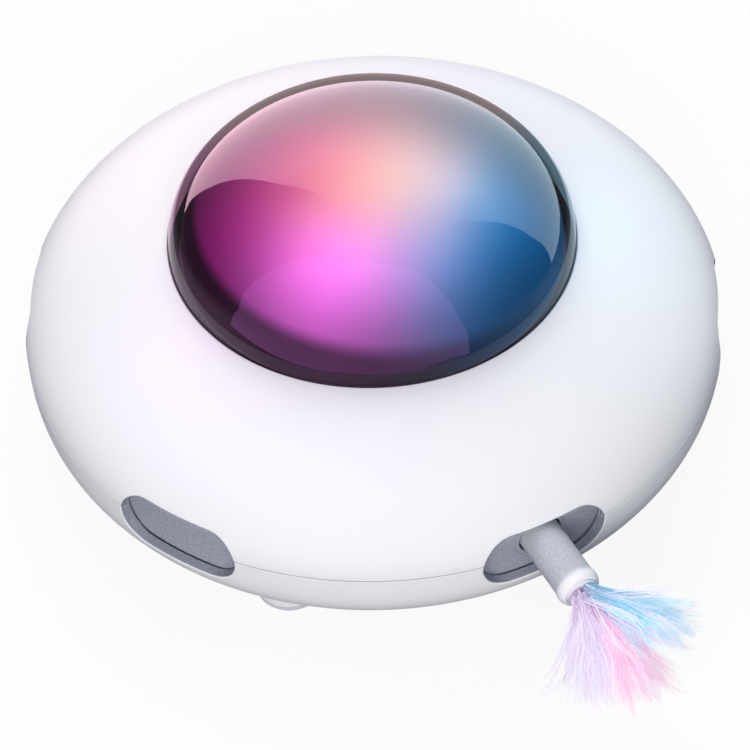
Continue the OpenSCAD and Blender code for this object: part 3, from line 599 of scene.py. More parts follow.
# smoked dome and the glowing diffuser under it
dome = {
    "rise": 27 * mm,
    "power": 2.2,
    "wall": 2.2 * mm,
    "shadeGap": 1.1 * mm,
    "shadeWall": 1.6 * mm,
    "curveSteps": 40,
    "turnSteps": 192,
    "smooth": 40,  # degrees
}
smoke = {  # tints, then alpha and roughness, each with its change by the haze
    "haze": 60,
    "outside": (((0.0022, 0.0017, 0.0022), (0.0033, 0.0025, 0.0033)), (0.9, 0.006), (0.02, 0.015)),
    "inside": (((0.004, 0.003, 0.004), (0.006, 0.0045, 0.006)), (0.25, 0.03), (0.5, 0.1)),
    # the emission strength lights the dome's painted glow
    "outsideFixed": {"IOR": 1.46, "Specular IOR Level": 0.278, "Emission Strength": 1.0},
    "insideFixed": {"IOR": 1.05, "Specular IOR Level": 0.0},
}
domeLow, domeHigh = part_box("dome_lens")
domeZ = domeHigh.z - dome["rise"]


def domeCurve(inset):
    return [((domeR - inset) * math.cos(a) ** (2 / dome["power"]),
             domeZ + (dome["rise"] - inset) * math.sin(a) ** (2 / dome["power"]))
            for a in spread(0, math.pi / 2, dome["curveSteps"])]


def domeBand(name, outer, inner, foot):
    outside, within = domeCurve(outer), domeCurve(inner)
    outside[-1], within[-1] = (0, outside[-1][1]), (0, within[-1][1])
    outline = [(domeR - outer, foot)] + outside + within[::-1] + [(domeR - inner, foot)]
    return turned(name, upright(outline), dome["turnSteps"])


def smokeWires(place, tints, alpha, rough):
    haze = place.noise(smoke["haze"], 2)
    return {
        "Base Color": haze.mix(*tints),
        "Alpha": alpha[0] + (haze - 0.5) * alpha[1],
        "Roughness": rough[0] + haze * rough[1],
    }


smokedDome = domeBand("smokedDome", 0, dome["wall"], domeLow.z)
shadeIn = dome["wall"] + dome["shadeGap"]
glowShade = domeBand("glowShade", shadeIn, shadeIn + dome["shadeWall"], ledgeZ)
for piece in (smokedDome, glowShade):
    smoothed(piece, dome["smooth"])

# the smoked dome carries painted light: a painted glow band round its foot, pink on the left and blue on the right,
# and painted light on the inner side of its wall, where the far wall shows through
paintedDomeGlow = {
    "band": (3.2 * mm, 1.2 * mm),
    "sides": (0.40, 0.95),  # in shares of the dome's radius, as are the next two
    "wallSides": (-0.5, 0.5),
    "wallMiddle": (0.8, 0.3),
    "left": (0.042, 0.025, 0.042),
    "right": (0.020, 0.033, 0.050),
    "wallLeft": (1.7, 0.75, 1.35),
    "wallRight": (0.65, 1.25, 1.7),
    "wallFar": (2.0, 1.5, 1.5),
}
frontward = Vector((math.cos(turn), math.sin(turn), 0))
leftward = Vector((math.sin(turn), -math.cos(turn), 0))  # the pink side, from the front
smokeOut, shader, place = newFinish("domeSmoke", smoke["outsideFixed"])
band = place.fromAxis().fade(*((domeR - inset) ** 2 for inset in paintedDomeGlow["band"]))
aside = place.dot(leftward) / domeR
near, far = paintedDomeGlow["sides"]
paintedFootGlow = (band * aside.fade(near, far)).mix((0, 0, 0), paintedDomeGlow["left"])
paintedFootGlow = (band * aside.fade(-near, -far)).mix(paintedFootGlow, paintedDomeGlow["right"])
paintedWallGlow = aside.fade(*paintedDomeGlow["wallSides"]).mix(paintedDomeGlow["wallRight"], paintedDomeGlow["wallLeft"])
paintedWallGlow = (aside * aside).fade(*paintedDomeGlow["wallMiddle"]).mix(paintedWallGlow, paintedDomeGlow["wallFar"])
# painted light: the inner side of the wall glows, and the outer side has the painted foot band
within = place.node("ShaderNodeNewGeometry", None, None, "Backfacing")
feed(shader, smokeWires(place, *smoke["outside"]))
feed(shader, {"Emission Color": within.mix(paintedFootGlow, paintedWallGlow)})
smokeIn, shader, place = newFinish("domeSmokeInside", smoke["insideFixed"])
feed(shader, smokeWires(place, *smoke["inside"]))
dress(smokedDome, "base", smokeOut, "dome_smoke", "dome_lens")
smokedDome.data.materials.append(smokeIn)
for face in smokedDome.data.polygons:
    outside = face.normal.dot(Vector((face.center.x, face.center.y, max(0, face.center.z - domeZ)))) > 0
    face.material_index = 0 if outside else 1

# soft pools of light on the diffuser, one over each lamp
glow = {
    "fixed": {"Roughness": 0.6, "Emission Strength": 15.0},
    "rings": ((4, 0.30, 45), (8, 0.72, 0)),  # lamps, share of the lamp board's radius, turn of the first
    "spread": 17 * mm,
    "between": (0.004, 0.002, 0.004),
    "middle": (2.2 * mm, -1.1 * mm),
    "foot": (46.3 * mm, 49.2 * mm),  # the glow fades between these radii
    "footShare": 0.07,
    "footTint": (0.0025, 0.001, 0.003),
    "coolWay": (0.30, 0.95),  # frontward and to the right
    "coolSide": (0.35, 0.80),  # from and to, in shares of the dome's radius
    "coolTint": (0.15, 0.70, 0.85),
    "lamps": (
        (0.19, 0.10, 0.10), (0.36, 0.03, 0.12), (0.34, 0.17, 0.03), (0.45, 0.32, 0.29),
        (0.00, 0.05, 0.10), (0.05, 0.03, 0.035), (0.06, 0.03, 0.04), (0.06, 0.01, 0.05),
        (0.20, 0.00, 0.124), (0.78, 0.12, 0.73), (0.09, 0.19, 0.44), (0.00, 0.14, 0.36)),
    "shade": ((0.018, 0.016, 0.018), (0.024, 0.021, 0.024)),
    "mottle": 200,
}
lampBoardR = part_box("led_board")[1].x
glowing, shader, place = newFinish("diffuserGlow", glow["fixed"])
lampsAt = [(lampBoardR * share, math.radians(first + 360 * k / count))
           for count, share, first in glow["rings"] for k in range(count)]
colour = glow["between"]
for (radius, angle), tint in zip(lampsAt, glow["lamps"]):
    pool = place.fromAxis(radius * math.cos(angle), radius * math.sin(angle)) * (-1 / glow["spread"] ** 2)
    colour = pool.exponent().mix(colour, tint, "ADD")
coolWay = frontward * glow["coolWay"][0] - leftward * glow["coolWay"][1]
cool = place.dot(coolWay).fade(*(share * domeR for share in glow["coolSide"]))
colour = cool.mix(colour, glow["coolTint"], "MULTIPLY")
footFade = place.fromAxis(*glow["middle"]).fade(*(radius ** 2 for radius in glow["foot"]))
feed(shader, {
    "Emission Color": (footFade * (1 - glow["footShare"])).mix(colour, glow["footTint"]),
    "Base Color": place.noise(glow["mottle"], 2).mix(*glow["shade"]),
})
dress(glowShade, "base", glowing, "diffuser_glow", "light_diffuser")
print("dome and diffuser made")


# turntable: plate, hub, drum wall behind the slots and two rails
drum = {
    "wall": 1.6 * mm,
    "plate": 2.5 * mm,
    "bore": 11.05 * mm,
    "hub": 14 * mm,
    "hubTop": 26.4 * mm,
    "sill": (0.15 * mm, 0.6 * mm),  # in and down, where the wall starts to lean in below the slots
    "breakUp": 3 * mm,  # where the wall starts to lean in, above the seam
    "breakIn": 0.12 * mm,
    "breakDrop": 1 * mm,
    "round": 0.4 * mm,
    "gap": 0.7 * mm,
    "railX": 14.1 * mm,
    "railW": 2.5 * mm,
    "railSpan": (-61.5 * mm, -17 * mm),
    "railSink": 0.5 * mm,  # into the plate
    "railEdge": 0.3 * mm,
    "bushWall": 1.5 * mm,
    "bushGap": 0.05 * mm,
    "bushCut": 20 * mm,
    "smooth": 25,  # degrees
    "steps": 192,
}
plateZ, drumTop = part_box("turntable")[0].z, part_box("turntable")[1].z
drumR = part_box("turntable")[1].x
plateTop = plateZ + drum["plate"]
sillZ = slotZ - slot["height"] / 2
breakZ = seamZ + drum["breakUp"]
drumTopR = min(drumR, insideR(drumTop, shell["wall"] + drum["gap"]))
drumLowR = min(drumR, insideR(plateZ, shell["wall"] + drum["gap"]))
wallIn = drumR - drum["wall"]
drumOutline = [
    (drum["bore"], plateZ), (drumLowR, plateZ), (drumR - drum["sill"][0], sillZ - drum["sill"][1]), (drumR, sillZ),
    (drumR, breakZ - drum["breakDrop"]), (drumR - drum["breakIn"], breakZ),
    (drumTopR, drumTop - drum["round"]), (drumTopR - drum["round"], drumTop),
    (drumTopR - drum["wall"], drumTop), (wallIn, breakZ), (wallIn, plateTop), (drum["hub"], plateTop),
    (drum["hub"], drum["hubTop"]), (drum["bore"], drum["hubTop"])]
turntable = turned("turntable", upright(drumOutline), drum["steps"])
tubeLow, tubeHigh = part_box("teaser_tube")
axisZ = (tubeLow.z + tubeHigh.z) / 2
lipR = tubeHigh.x
railFrom, railTo = drum["railSpan"]
railLow, railHigh = plateTop - drum["railSink"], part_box("guide_cover")[0].z
rails = []
for side in (-1, 1):
    deselect()
    at = (side * (drum["railX"] + drum["railW"] / 2), (railFrom + railTo) / 2, (railLow + railHigh) / 2)
    bpy.ops.mesh.primitive_cube_add(size=1, location=at)
    bpy.context.object.scale = (drum["railW"], railTo - railFrom, railHigh - railLow)
    rail = settle()
    applied(rail, "BEVEL", width=drum["railEdge"], segments=2)
    rails.append(rail)
cut(turntable, joined(rails, "railTool"), "UNION")
deselect()
bushR = lipR + drum["bushWall"] + drum["bushGap"]
bpy.ops.mesh.primitive_cylinder_add(vertices=72, radius=bushR, depth=drum["bushCut"],
                                    location=(0, -drumR, axisZ), rotation=(math.pi / 2, 0, 0))
cut(turntable, settle())
smoothed(turntable, drum["smooth"])
dress(turntable, "turntable", greyPlastic, "drum_grey", "turntable")
print("turntable made")


# teaser tube with a rounded lip
tube = {
    "r": 5.3 * mm,
    "bore": 4.2 * mm,
    "rim": 0.25 * mm,  # rounding at the bore
    "nose": 2.3 * mm,  # length of the rounded end
    "lip": 1.3 * mm,  # and of the slope behind it, short enough for the bush's seat
    "steps": 96,
    "fixed": {"IOR": 1.45, "Specular IOR Level": 0.12},
    "tints": ((0.44, 0.46, 0.50), (0.55, 0.57, 0.61)),
    # the pale end is a paler lip and partly a painted highlight on the rounded nose
    "noseTint": (0.86, 0.86, 0.87),
    "noseEdge": (4.2 * mm, 1.2 * mm),  # the pale end starts and is full, from the tip
    "speck": 1900,
    "rough": (0.60, 0.2, 0.15),  # less on the pale end, and its change with the specks
    "bump": (0.3, 0.02 * mm),
}
tipY = tubeLow.y
noseR = tube["bore"] + tube["rim"]
tubeOutline = [(tube["bore"], tubeHigh.y), (tube["bore"], tipY + tube["rim"])]
tubeOutline += [(noseR - tube["rim"] * math.cos(a), tipY + tube["rim"] * (1 - math.sin(a)))
                for a in spread(0.1, math.pi / 2, 5)]
tubeOutline += [(noseR + (lipR - noseR) * math.sin(a), tipY + tube["nose"] * (1 - math.cos(a)))
                for a in spread(0.1, math.pi / 2, 14)]
tubeOutline += [(lipR - (lipR - tube["r"]) * (1 - math.cos(a)) / 2, tipY + tube["nose"] + tube["lip"] * a / math.pi)
                for a in spread(0.3, math.pi, 7)]
tubeOutline += [(tube["r"], tubeHigh.y)]
teaserTube = turned("teaserTube", [Vector((r, y, axisZ)) for r, y in tubeOutline], tube["steps"],
                    axisAt=(0, 0, axisZ), along=(0, 1, 0))
smoothed(teaserTube)
tubeGrey, shader, place = newFinish("tubeGrey", tube["fixed"])
speck = place.specks(tube["speck"])
# pale nose: a paler lip, and partly a painted highlight
nose = place.part("Y").fade(*(tipY + back for back in tube["noseEdge"]))
rough, byNose, bySpeck = tube["rough"]
feed(shader, {
    "Base Color": nose.mix(speck.mix(*tube["tints"]), tube["noseTint"]),
    "Roughness": rough - nose * byNose + (speck - 0.5) * bySpeck,
    "Normal": speck.bump(*tube["bump"]),
})
dress(teaserTube, "carriage", tubeGrey, "tube_grey", "teaser_tube")

# feet: soft pucks with a domed edge and a shallow dish below
footGrey = grainFinish("footGrey", (0.62, 0.63, 0.66), 0.55, grain=1500, depth=0.02, drift=0.03)
for node in feet["nodes"]:
    low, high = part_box(node)
    middle = (low + high) / 2
    footR, thick, corner, edge = (high.x - low.x) / 2, feet["thick"], feet["round"], feet["edge"]
    flat, slope = (footR * share for share in feet["dishShares"])
    outline = ([(0, feet["dish"]), (flat, feet["dish"]), (slope, 0)]
               + arc(footR - corner, corner, corner, -90, 0, 8)
               + [(footR, thick - edge), (footR - edge, thick), (feet["stem"], thick),
                  (feet["stem"], high.z - feet["stemEdge"]), (feet["stem"] - feet["stemEdge"], high.z), (0, high.z)])
    foot = turned(node.replace("foot_", "foot").replace("_", ""), upright(outline, middle.x, middle.y),
                  feet["steps"], axisAt=(middle.x, middle.y, 0), ring=False)
    smoothed(foot)
    dress(foot, "base", footGrey, "foot_grey", node)

# power button under the body
button = {
    "dish": (0.25 * mm, 0.1 * mm),  # at its middle, and at a share of its radius
    "dishShare": 0.55,
    "round": 0.5 * mm,
    "flange": 1.6 * mm,
    "flangeUp": (0.05 * mm, 0.75 * mm),  # its two faces, over the inner floor
    "stem": 1.7 * mm,
    "stemEdge": 0.2 * mm,
    "steps": 64,
}
flangeR, corner, stem = buttonR + button["flange"], button["round"], button["stem"]
flangeLow, flangeHigh = (floorZ + up for up in button["flangeUp"])
outline = ([(0, buttonLow.z + button["dish"][0]), (buttonR * button["dishShare"], buttonLow.z + button["dish"][1])]
           + arc(buttonR - corner, buttonLow.z + corner, corner, -90, 0, 6)
           + [(buttonR, flangeLow), (flangeR, flangeLow), (flangeR, flangeHigh), (stem, flangeHigh),
              (stem, buttonHigh.z - button["stemEdge"]), (stem - button["stemEdge"], buttonHigh.z), (0, buttonHigh.z)])
powerButton = turned("powerButton", upright(outline, buttonAt.x, buttonAt.y), button["steps"],
                     axisAt=(buttonAt.x, buttonAt.y, 0), ring=False)
smoothed(powerButton)
buttonGrey = grainFinish("buttonGrey", (0.45, 0.46, 0.49), 0.45, grain=1800)
dress(powerButton, "power_button", buttonGrey, "button_grey", "power_button")
print("tube, feet and button made")


# feather refill: three plumes of fine strands, which hang together in locks
plumes = {
    "seed": 7,
    # the root tints are darker: painted shade where the strands crowd at the root
    "kinds": (  # node, name, fan, droop, length, seat, root and vane tints, slot
        ("plume_blue", "plumeBlue", 35, -2, 30 * mm, (1.5 * mm, 1.4 * mm),
         ((0.04, 0.28, 0.52), (0.12, 0.58, 0.84), (0.42, 0.82, 0.95)), "feather_blue"),
        ("plume_pink", "plumePink", 5, -17, 34 * mm, (0.2 * mm, -0.6 * mm),
         ((0.08, 0.06, 0.28), (0.98, 0.30, 0.62), (1.0, 0.62, 0.82)), "feather_pink"),
        ("plume_lilac", "plumeLilac", -20, -20, 31 * mm, (-1.7 * mm, 1.4 * mm),
         ((0.42, 0.20, 0.48), (0.64, 0.50, 0.76), (0.86, 0.78, 0.92)), "feather_lilac"),
    ),
    "strayTint": (0.80, 0.72, 0.90),
    "strayShare": 0.14,
    "paleTint": (0.96, 0.95, 0.98),
}
locks = {
    "count": 150,
    "seatSpread": 1.5 * mm,
    "boreFill": 3.5 * mm,
    "rimShare": 0.3,  # seated round the edge of the bore
    "entry": 2.6 * mm,  # a lock leaves along the tube before it fans out
    "entryWay": (0, -1, 0.12),
    "quill": (1.6, 0.5, 0.9),  # bare stem: how uneven, its longest share, and how much of it is straight
    "mostLean": 1.7,
    "fanOut": (0.29, 0.20),  # for each lean, sideways and upwards
    "shorten": 0.14,
    "run": (0.66, 1.06),
    "curl": 0.18,
    "bend": 1.15,
    "sag": 0.05,
}
strands = {
    "count": 11,  # in a lock
    "points": 7,
    "sides": 3,
    "thick": 0.10 * mm,
    "taper": 0.7,
    "run": (0.72, 1),
    "loose": (0.22 * mm, 0.60 * mm, 0.45 * mm),  # off the lock at the root, the belly and the tip
    "belly": 2.6,
    "tilt": (0.3, 0.2, 1),
    "paleEase": 2.2,
    "deep": (0.35, 0.70, 0.95),  # share of deeper strands, and how deep
    "white": (0.12, 1.4, 0.7),  # share of white strands, how much thicker and how much paler
    # the painted root shade fades out with the distance from the root, by this factor, and leaves at least this share
    # of the vane tint
    "rootFade": (2.8, 0.1),
    "pale": (0.20, 0.50, 0.95),  # by chance, towards the tip, and at most
}
rootAt = Vector((0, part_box("plume_socket")[0].y, axisZ))


def blended(first, second, share):
    return tuple(a + (b - a) * share for a, b in zip(first, second))


def lockCurve(rng, seat, heading, sideways, upward, length):
    uneven, longest, straight = locks["quill"]
    quill = rng.random() ** uneven * longest * length
    lean = min(locks["mostLean"], abs(rng.gauss(0, 1)))
    swing = rng.uniform(0, 2 * math.pi)
    offX, offZ = lean * locks["fanOut"][0] * math.cos(swing), lean * locks["fanOut"][1] * math.sin(swing)
    run = (length - quill) * rng.uniform(*locks["run"])
    curl = rng.uniform(-locks["curl"], locks["curl"])
    straighten = (Vector(locks["entryWay"]) - heading) * locks["entry"]

    def along(t):
        gone = quill * straight + run * t * (1 - locks["shorten"] * lean * t)
        point = seat + heading * gone + straighten * (1 - math.exp(-gone / locks["entry"]))
        point += sideways * (offX * run * t ** locks["bend"] + curl * run * t ** 3)
        return point + upward * (offZ * run * t ** locks["bend"] - locks["sag"] * run * t * t)
    return along


def strandSkin(path, radii, first):  # points and faces of a thin tube round a path
    points, faces, sides = [], [], strands["sides"]
    for k, (centre, radius) in enumerate(zip(path, radii)):
        onward = path[min(k + 1, len(path) - 1)] - path[max(k - 1, 0)]
        across = onward.cross(Vector(strands["tilt"])).normalized()
        over = across.cross(onward).normalized()
        for corner in range(sides):
            a = 2 * math.pi * corner / sides
            points.append(centre + (across * math.cos(a) + over * math.sin(a)) * radius)
    for k in range(len(path) - 1):
        for corner in range(sides):
            a, b = first + sides * k + corner, first + sides * k + (corner + 1) % sides
            faces.append((a, b, b + sides, a + sides))
    faces.append(tuple(range(first, first + sides))[::-1])
    last = first + sides * (len(path) - 1)
    faces.append(tuple(range(last, last + sides)))
    return points, faces


def plume(name, fan, droop, length, seatAt, tints, rng):
    heading = Vector((math.sin(fan) * math.cos(droop), -math.cos(fan) * math.cos(droop), math.sin(droop)))
    sideways = heading.cross(Vector((0, 0, 1))).normalized()
    upward = sideways.cross(heading).normalized()
    deepShare, deepFrom, deepTo = strands["deep"]
    whiteShare, whiteThick, whitePale = strands["white"]
    byChance, byTip, mostPale = strands["pale"]
    rootFade, rootLeast = strands["rootFade"]
    steps = [k / (strands["points"] - 1) for k in range(strands["points"])]

    def strayed(size):
        return sideways * rng.gauss(0, size) + upward * rng.gauss(0, size)

    points, faces, colours = [], [], []
    for lock in range(locks["count"]):
        seat = Vector((seatAt[0] + rng.gauss(0, locks["seatSpread"]), 0,
                       seatAt[1] + rng.gauss(0, locks["seatSpread"])))
        reach = locks["boreFill"] / seat.length
        seat *= reach if rng.random() < locks["rimShare"] else min(1, reach)
        along = lockCurve(rng, rootAt + seat, heading, sideways, upward, length)
        vane = blended(tints[1], tints[2], rng.random())
        if rng.random() < plumes["strayShare"]:
            vane = plumes["strayTint"]
        for strand in range(strands["count"]):
            share = rng.uniform(*strands["run"])
            start, splay, end = (strayed(size) for size in strands["loose"])
            pale = rng.random() ** strands["paleEase"]
            white = rng.random() < whiteShare
            deep = rng.uniform(deepFrom, deepTo) if rng.random() < deepShare else 1
            path = [along(share * t) + start * (1 - t) + splay * math.sin(strands["belly"] * t) + end * t * t
                    for t in steps]
            radii = [strands["thick"] * (1 - strands["taper"] * t) * (whiteThick if white else 1) for t in steps]
            skinPoints, skinFaces = strandSkin(path, radii, len(points))
            points += skinPoints
            faces += skinFaces
            for t, centre in zip(steps, path):
                distance = (centre - rootAt).length / length
                # painted shade: the darker root tint near the root
                shade = blended(tints[0], vane, min(1, max(rootLeast, distance * rootFade)))
                fadeOut = byChance * pale + byTip * t * distance + (whitePale if white else 0)
                shade = blended(shaded(shade, deep), plumes["paleTint"], min(mostPale, fadeOut))
                colours += [shade] * strands["sides"]
    mesh = bpy.data.meshes.new(name)
    mesh.from_pydata(points, [], faces)
    tintMap = mesh.color_attributes.new("tint", "FLOAT_COLOR", "POINT")
    for item, colour in zip(tintMap.data, colours):
        item.color = (*colour, 1)
    piece = bpy.data.objects.new(name, mesh)
    bpy.context.scene.collection.objects.link(piece)
    facedOut(piece)
    bpy.ops.object.shade_smooth()
    return piece


# down: the strands' own tints, a fine fleck, and a painted glow in their own tints that lifts the shade among the
# strands
down = {
    "fixed": {"IOR": 1.3, "Sheen Weight": 0.15, "Emission Strength": 0.26},
    "fleck": 3000,
    "fleckShare": 0.2,
    "rough": (0.7, 0.15),
}


def featherFinish(name):
    made, shader, place = newFinish(name, down["fixed"])
    tint = place.node("ShaderNodeAttribute", {"attribute_name": "tint"})
    fleck = place.noise(down["fleck"], 1)
    feed(shader, {
        "Base Color": (fleck * down["fleckShare"]).mix(tint, plumes["paleTint"]),
        # painted glow: the strands shine in their own tint
        "Emission Color": tint,
        "Roughness": down["rough"][0] + fleck * down["rough"][1],
    })
    return made


rng = random.Random(plumes["seed"])
for node, name, fan, droop, length, seatAt, tints, slotName in plumes["kinds"]:
    piece = plume(name, math.radians(fan), math.radians(droop), length, seatAt, tints, rng)
    dress(piece, "feather_refill", featherFinish(name + "Down"), slotName, node)
    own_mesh(piece)
print("plumes made")


# finishes of the inner CAD pieces: name, colour, roughness, grain, other settings, nodes
innerFinishes = (
    ("sealRubber", (0.035, 0.035, 0.038), 0.7, 2500, {}, ("dome_seal",)),
    ("trayWhite", (0.80, 0.80, 0.80), 0.5, 1200, {}, ("light_tray",)),
    ("boardWhite", (0.82, 0.83, 0.80), 0.4, 700, {"drift": 0.03}, ("led_board",)),
    ("ledPackage", (0.86, 0.83, 0.66), 0.3, 900, {}, ("leds",)),
    ("screwSteel", (0.62, 0.62, 0.64), 0.3, 1400, {"metal": 1.0, "stretch": (1, 1, 5)},
     ("led_board_screws", "light_tray_screws", "motor_tower_screws", "motor_cap_screws", "control_board_screws",
      "guide_cover_screws", "tube_pin", "motor_shaft", "eccentric_weight")),
    ("towerGrey", (0.50, 0.51, 0.53), 0.5, 1100, {}, ("motor_tower", "motor_cap")),
    ("motorSteel", (0.66, 0.66, 0.67), 0.28, 700, {"metal": 1.0, "stretch": (1, 1, 9)},
     ("motor_can", "vibration_motor")),
    ("gearboxBrass", (0.72, 0.53, 0.22), 0.32, 800, {"metal": 1.0, "stretch": (4, 1, 1)}, ("gearbox",)),
    ("feltGrey", (0.11, 0.11, 0.12), 0.95, 3500, {"depth": 0.12, "drift": 0.3, "strength": 0.8},
     ("friction_ring",)),
    ("cellFoil", (0.55, 0.56, 0.58), 0.25, 90, {"depth": 0.15, "metal": 0.9}, ("battery_cell",)),
    ("padFoam", (0.16, 0.16, 0.17), 0.95, 2600, {"depth": 0.15, "drift": 0.2, "strength": 0.8},
     ("battery_pad",)),
    ("boardGreen", (0.02, 0.16, 0.07), 0.35, 420, {"drift": 0.3}, ("control_board",)),
    ("chipBlack", (0.02, 0.02, 0.022), 0.5, 2200, {}, ("control_chips", "switch_body")),
    ("socketSteel", (0.68, 0.68, 0.70), 0.22, 900, {"metal": 1.0, "stretch": (6, 1, 1)}, ("usb_socket",)),
    ("ribbonAmber", (0.55, 0.22, 0.04), 0.35, 500, {"drift": 0.12}, ("led_ribbon",)),
    ("leadRed", (0.50, 0.03, 0.03), 0.45, 1500, {}, ("battery_lead",)),
    ("leadBlue", (0.04, 0.09, 0.42), 0.45, 1500, {}, ("motor_lead", "vibration_lead")),
    ("guideWhite", (0.76, 0.76, 0.76), 0.5, 1200, {}, ("guide_cover", "carriage")),
    ("refillWhite", (0.84, 0.84, 0.86), 0.6, 1600, {}, ("plume_socket",)),
    ("gearWhite", (0.82, 0.81, 0.78), 0.35, 1000, {}, ("drive_gear",)),
)


def coat(node, finish):
    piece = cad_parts[node]
    piece.data.materials.clear()
    piece.data.materials.append(finish)


for name, tint, rough, grain, settings, nodes in innerFinishes:
    finish = grainFinish(name, tint, rough, grain, **settings)
    for node in nodes:
        coat(node, finish)
coat("tube_bush", greyPlastic)
print("inner pieces finished")


# white floor, soft light from above, and pale cards that only the gloss sees
footTurns = (75, 50, 25, 0, -25, -50, -75, -95)
studio = {
    "floor": 6.0,
    "floorDrop": 0.05 * mm,
    "paper": (0.85, 0.85, 0.85),
    "paperGlow": 0.9,  # white of its own where the camera sees it
    "bounce": (0.08, 0.09, 0.12),  # what the floor gives back to the body
    "ambient": (0.33, 0.35, 0.405),
    "lamps": (  # name, place, size, power, colour
        ("overhead", (0.36, 0.98, 1.15), (1.4, 1.2), 16, (1, 0.985, 0.955)),
        ("front", (-0.76, -1.18, 0.70), (1.4, 0.9), 19.5, (1, 0.985, 0.955)),
    ),
    "spills": (  # the dome's own glow on the body: name, turn from the far side, power, colour
        ("pinkSpill", 128, 0.0045, (1, 0.10, 0.85)),
        ("blueSpill", -88, 0.0065, (0.02, 0.6, 1)),
        ("violetSpill", 172, 0.0011, (0.7, 0.1, 1)),
    ),
    "spillAt": (64 * mm, 84 * mm),
    "spillSize": 12 * mm,
    "surround": 0.02,  # what the gloss sees beside the cards
    "surroundR": 3.5,
    "cardRange": 1.2,
    "cardSides": (-0.55, 0.55),  # from the right light to the left
    "fadeSides": (0.38, 0.16),
    "cards": (  # name, edge as turn from the far side and rise, right and left light, fading heights
        ("farCard", ((50, -4), (47, 1), (43, 17), (36, 32), (29, 44), (20, 52), (0, 70), (-25, 70), (-46, 58),
                     (-59, 44), (-70, 26), (-77, -3), (-77, -4), (-40, -4), (0, -4)),
         ((3.4, 4.4, 4.9), (8.2, 4.8, 6.0)), (38, 66)),
        ("nearCard", ((104, -22), (106, -12), (107, 14), (98, 46), (71, 67), (0, 86), (-101, 75), (-124, 59),
                      (-133, 31), (-135, -8), (-134, -22), (-160, -24), (170, -24), (140, -24)),
         ((2.2, 1.0, 2.7), (3.0, 1.0, 3.2)), None),
        ("footCard", [(a, -4) for a in footTurns] + [(a, -45) for a in footTurns[::-1]],
         ((0.13, 0.13, 0.14), (0.14, 0.12, 0.13)), None),
    ),
}
deselect()
bpy.ops.mesh.primitive_plane_add(size=2 * studio["floor"], location=(0, 0, -studio["floorDrop"]))
floor = settle()
floor.name = "floor"
paper, shader, place = newFinish("paper", {"Roughness": 0.9, "Specular IOR Level": 0.0})
seen = place.node("ShaderNodeLightPath", None, None, "Is Camera Ray")
feed(shader, {"Base Color": seen.mix(studio["bounce"], studio["paper"])})
white = place.node("ShaderNodeEmission", None, {"Color": (1, 1, 1, 1), "Strength": 1.0})
plain = Wire(paper.node_tree, shader.outputs[0])
both = place.node("ShaderNodeMixShader", None, {0: seen * studio["paperGlow"], 1: plain, 2: white})
fromBelow = place.node("ShaderNodeNewGeometry", None, None, "Backfacing")
clear = place.node("ShaderNodeBsdfTransparent")
both = place.node("ShaderNodeMixShader", None, {0: fromBelow, 1: both, 2: clear})
feed(paper.node_tree.nodes["Material Output"], {"Surface": both})
floor.data.materials.append(paper)
floor.visible_glossy = False

world = bpy.data.worlds.new("studio")
bpy.context.scene.world = world
world.use_nodes = True
seen = Wire(world.node_tree).node("ShaderNodeLightPath", None, None, "Is Camera Ray")
feed(world.node_tree.nodes["Background"], {"Color": seen.mix(studio["ambient"], (1, 1, 1))})


def newLamp(kind, name, at, power, tone):
    deselect()
    bpy.ops.object.light_add(type=kind, location=at)
    lamp = bpy.context.object
    lamp.name = name
    lamp.data.energy = power
    lamp.data.color = tone
    lamp.visible_camera = lamp.visible_glossy = False
    return lamp


def bearing(aside, up):  # degrees from the far side, and upwards
    polar, up = turn + math.pi + math.radians(aside), math.radians(up)
    return Vector((math.cos(polar) * math.cos(up), math.sin(polar) * math.cos(up), math.sin(up)))


def lightFinish(name):
    made, shader, place = newFinish(name, {})
    made.node_tree.nodes.remove(shader)
    return made, place


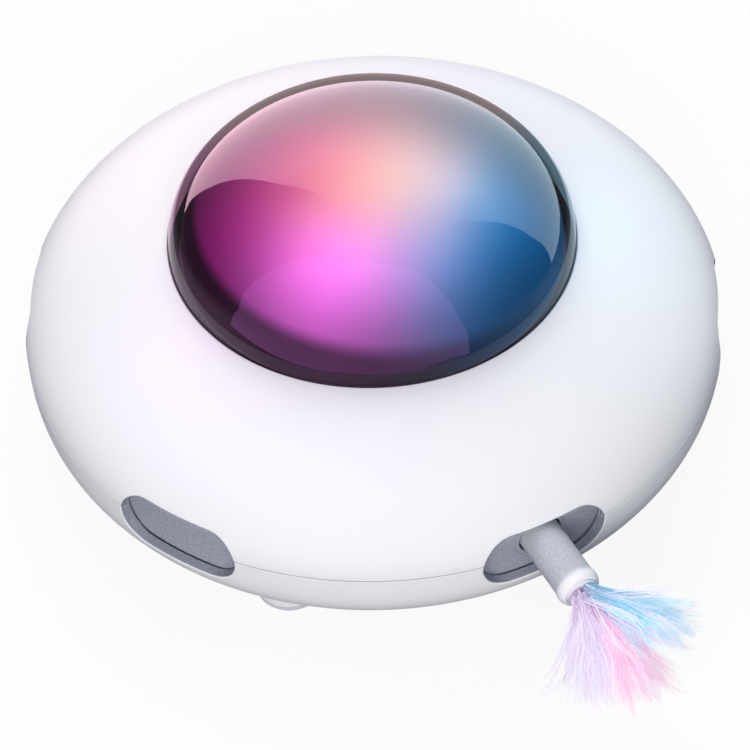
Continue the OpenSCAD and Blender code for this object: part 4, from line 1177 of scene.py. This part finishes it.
def shine(piece, finish, place, colour, strength):  # a light that only the gloss sees
    light = place.node("ShaderNodeEmission", None, {"Color": colour, "Strength": strength})
    feed(finish.node_tree.nodes["Material Output"], {"Surface": light})
    piece.data.materials.append(finish)
    piece.visible_camera = piece.visible_diffuse = piece.visible_transmission = piece.visible_shadow = False


for name, at, size, power, tone in studio["lamps"]:
    lamp = newLamp("AREA", name, at, power, tone)
    lamp.rotation_euler = (Vector(at) - Vector((0, 0, seamZ))).to_track_quat("Z", "Y").to_euler()
    lamp.data.shape = "RECTANGLE"
    lamp.data.size, lamp.data.size_y = size
spillR, spillZ = studio["spillAt"]
for name, aside, power, tone in studio["spills"]:
    lamp = newLamp("POINT", name, bearing(aside, 0) * spillR + Vector((0, 0, spillZ)), power, tone)
    lamp.data.shadow_soft_size = studio["spillSize"]

deselect()
bpy.ops.mesh.primitive_uv_sphere_add(segments=48, ring_count=24, radius=studio["surroundR"])
surround = bpy.context.object
surround.name = "surround"
shine(surround, *lightFinish("surround"), (1, 1, 1, 1), studio["surround"])
for name, border, (rightLight, leftLight), fading in studio["cards"]:
    deselect()
    bpy.ops.mesh.primitive_circle_add(vertices=len(border), radius=1, fill_type="TRIFAN")
    card = bpy.context.object
    card.name = name
    directions = [bearing(*corner) for corner in border]
    middle = sum(directions, Vector()).normalized()
    for point in card.data.vertices:
        k = round(math.atan2(point.co.y, point.co.x) / (2 * math.pi) * len(border)) % len(border)
        direction = directions[k] if point.co.length > 0.5 else middle
        point.co = Vector((0, 0, domeZ)) + direction * studio["cardRange"]
    finish, place = lightFinish(name)
    aside = place.dot(leftward) / studio["cardRange"]
    light = aside.fade(*studio["cardSides"]).mix(rightLight, leftLight)
    if fading:
        heights = (domeZ + studio["cardRange"] * math.sin(math.radians(up)) for up in fading)
        dark = place.part("Z").fade(*heights) * (aside * aside).fade(*studio["fadeSides"])
        light = dark.mix(light, (0, 0, 0))
    shine(card, finish, place, light, 1.0)
bpy.context.scene.view_settings.view_transform = "Standard"
print("studio lit")
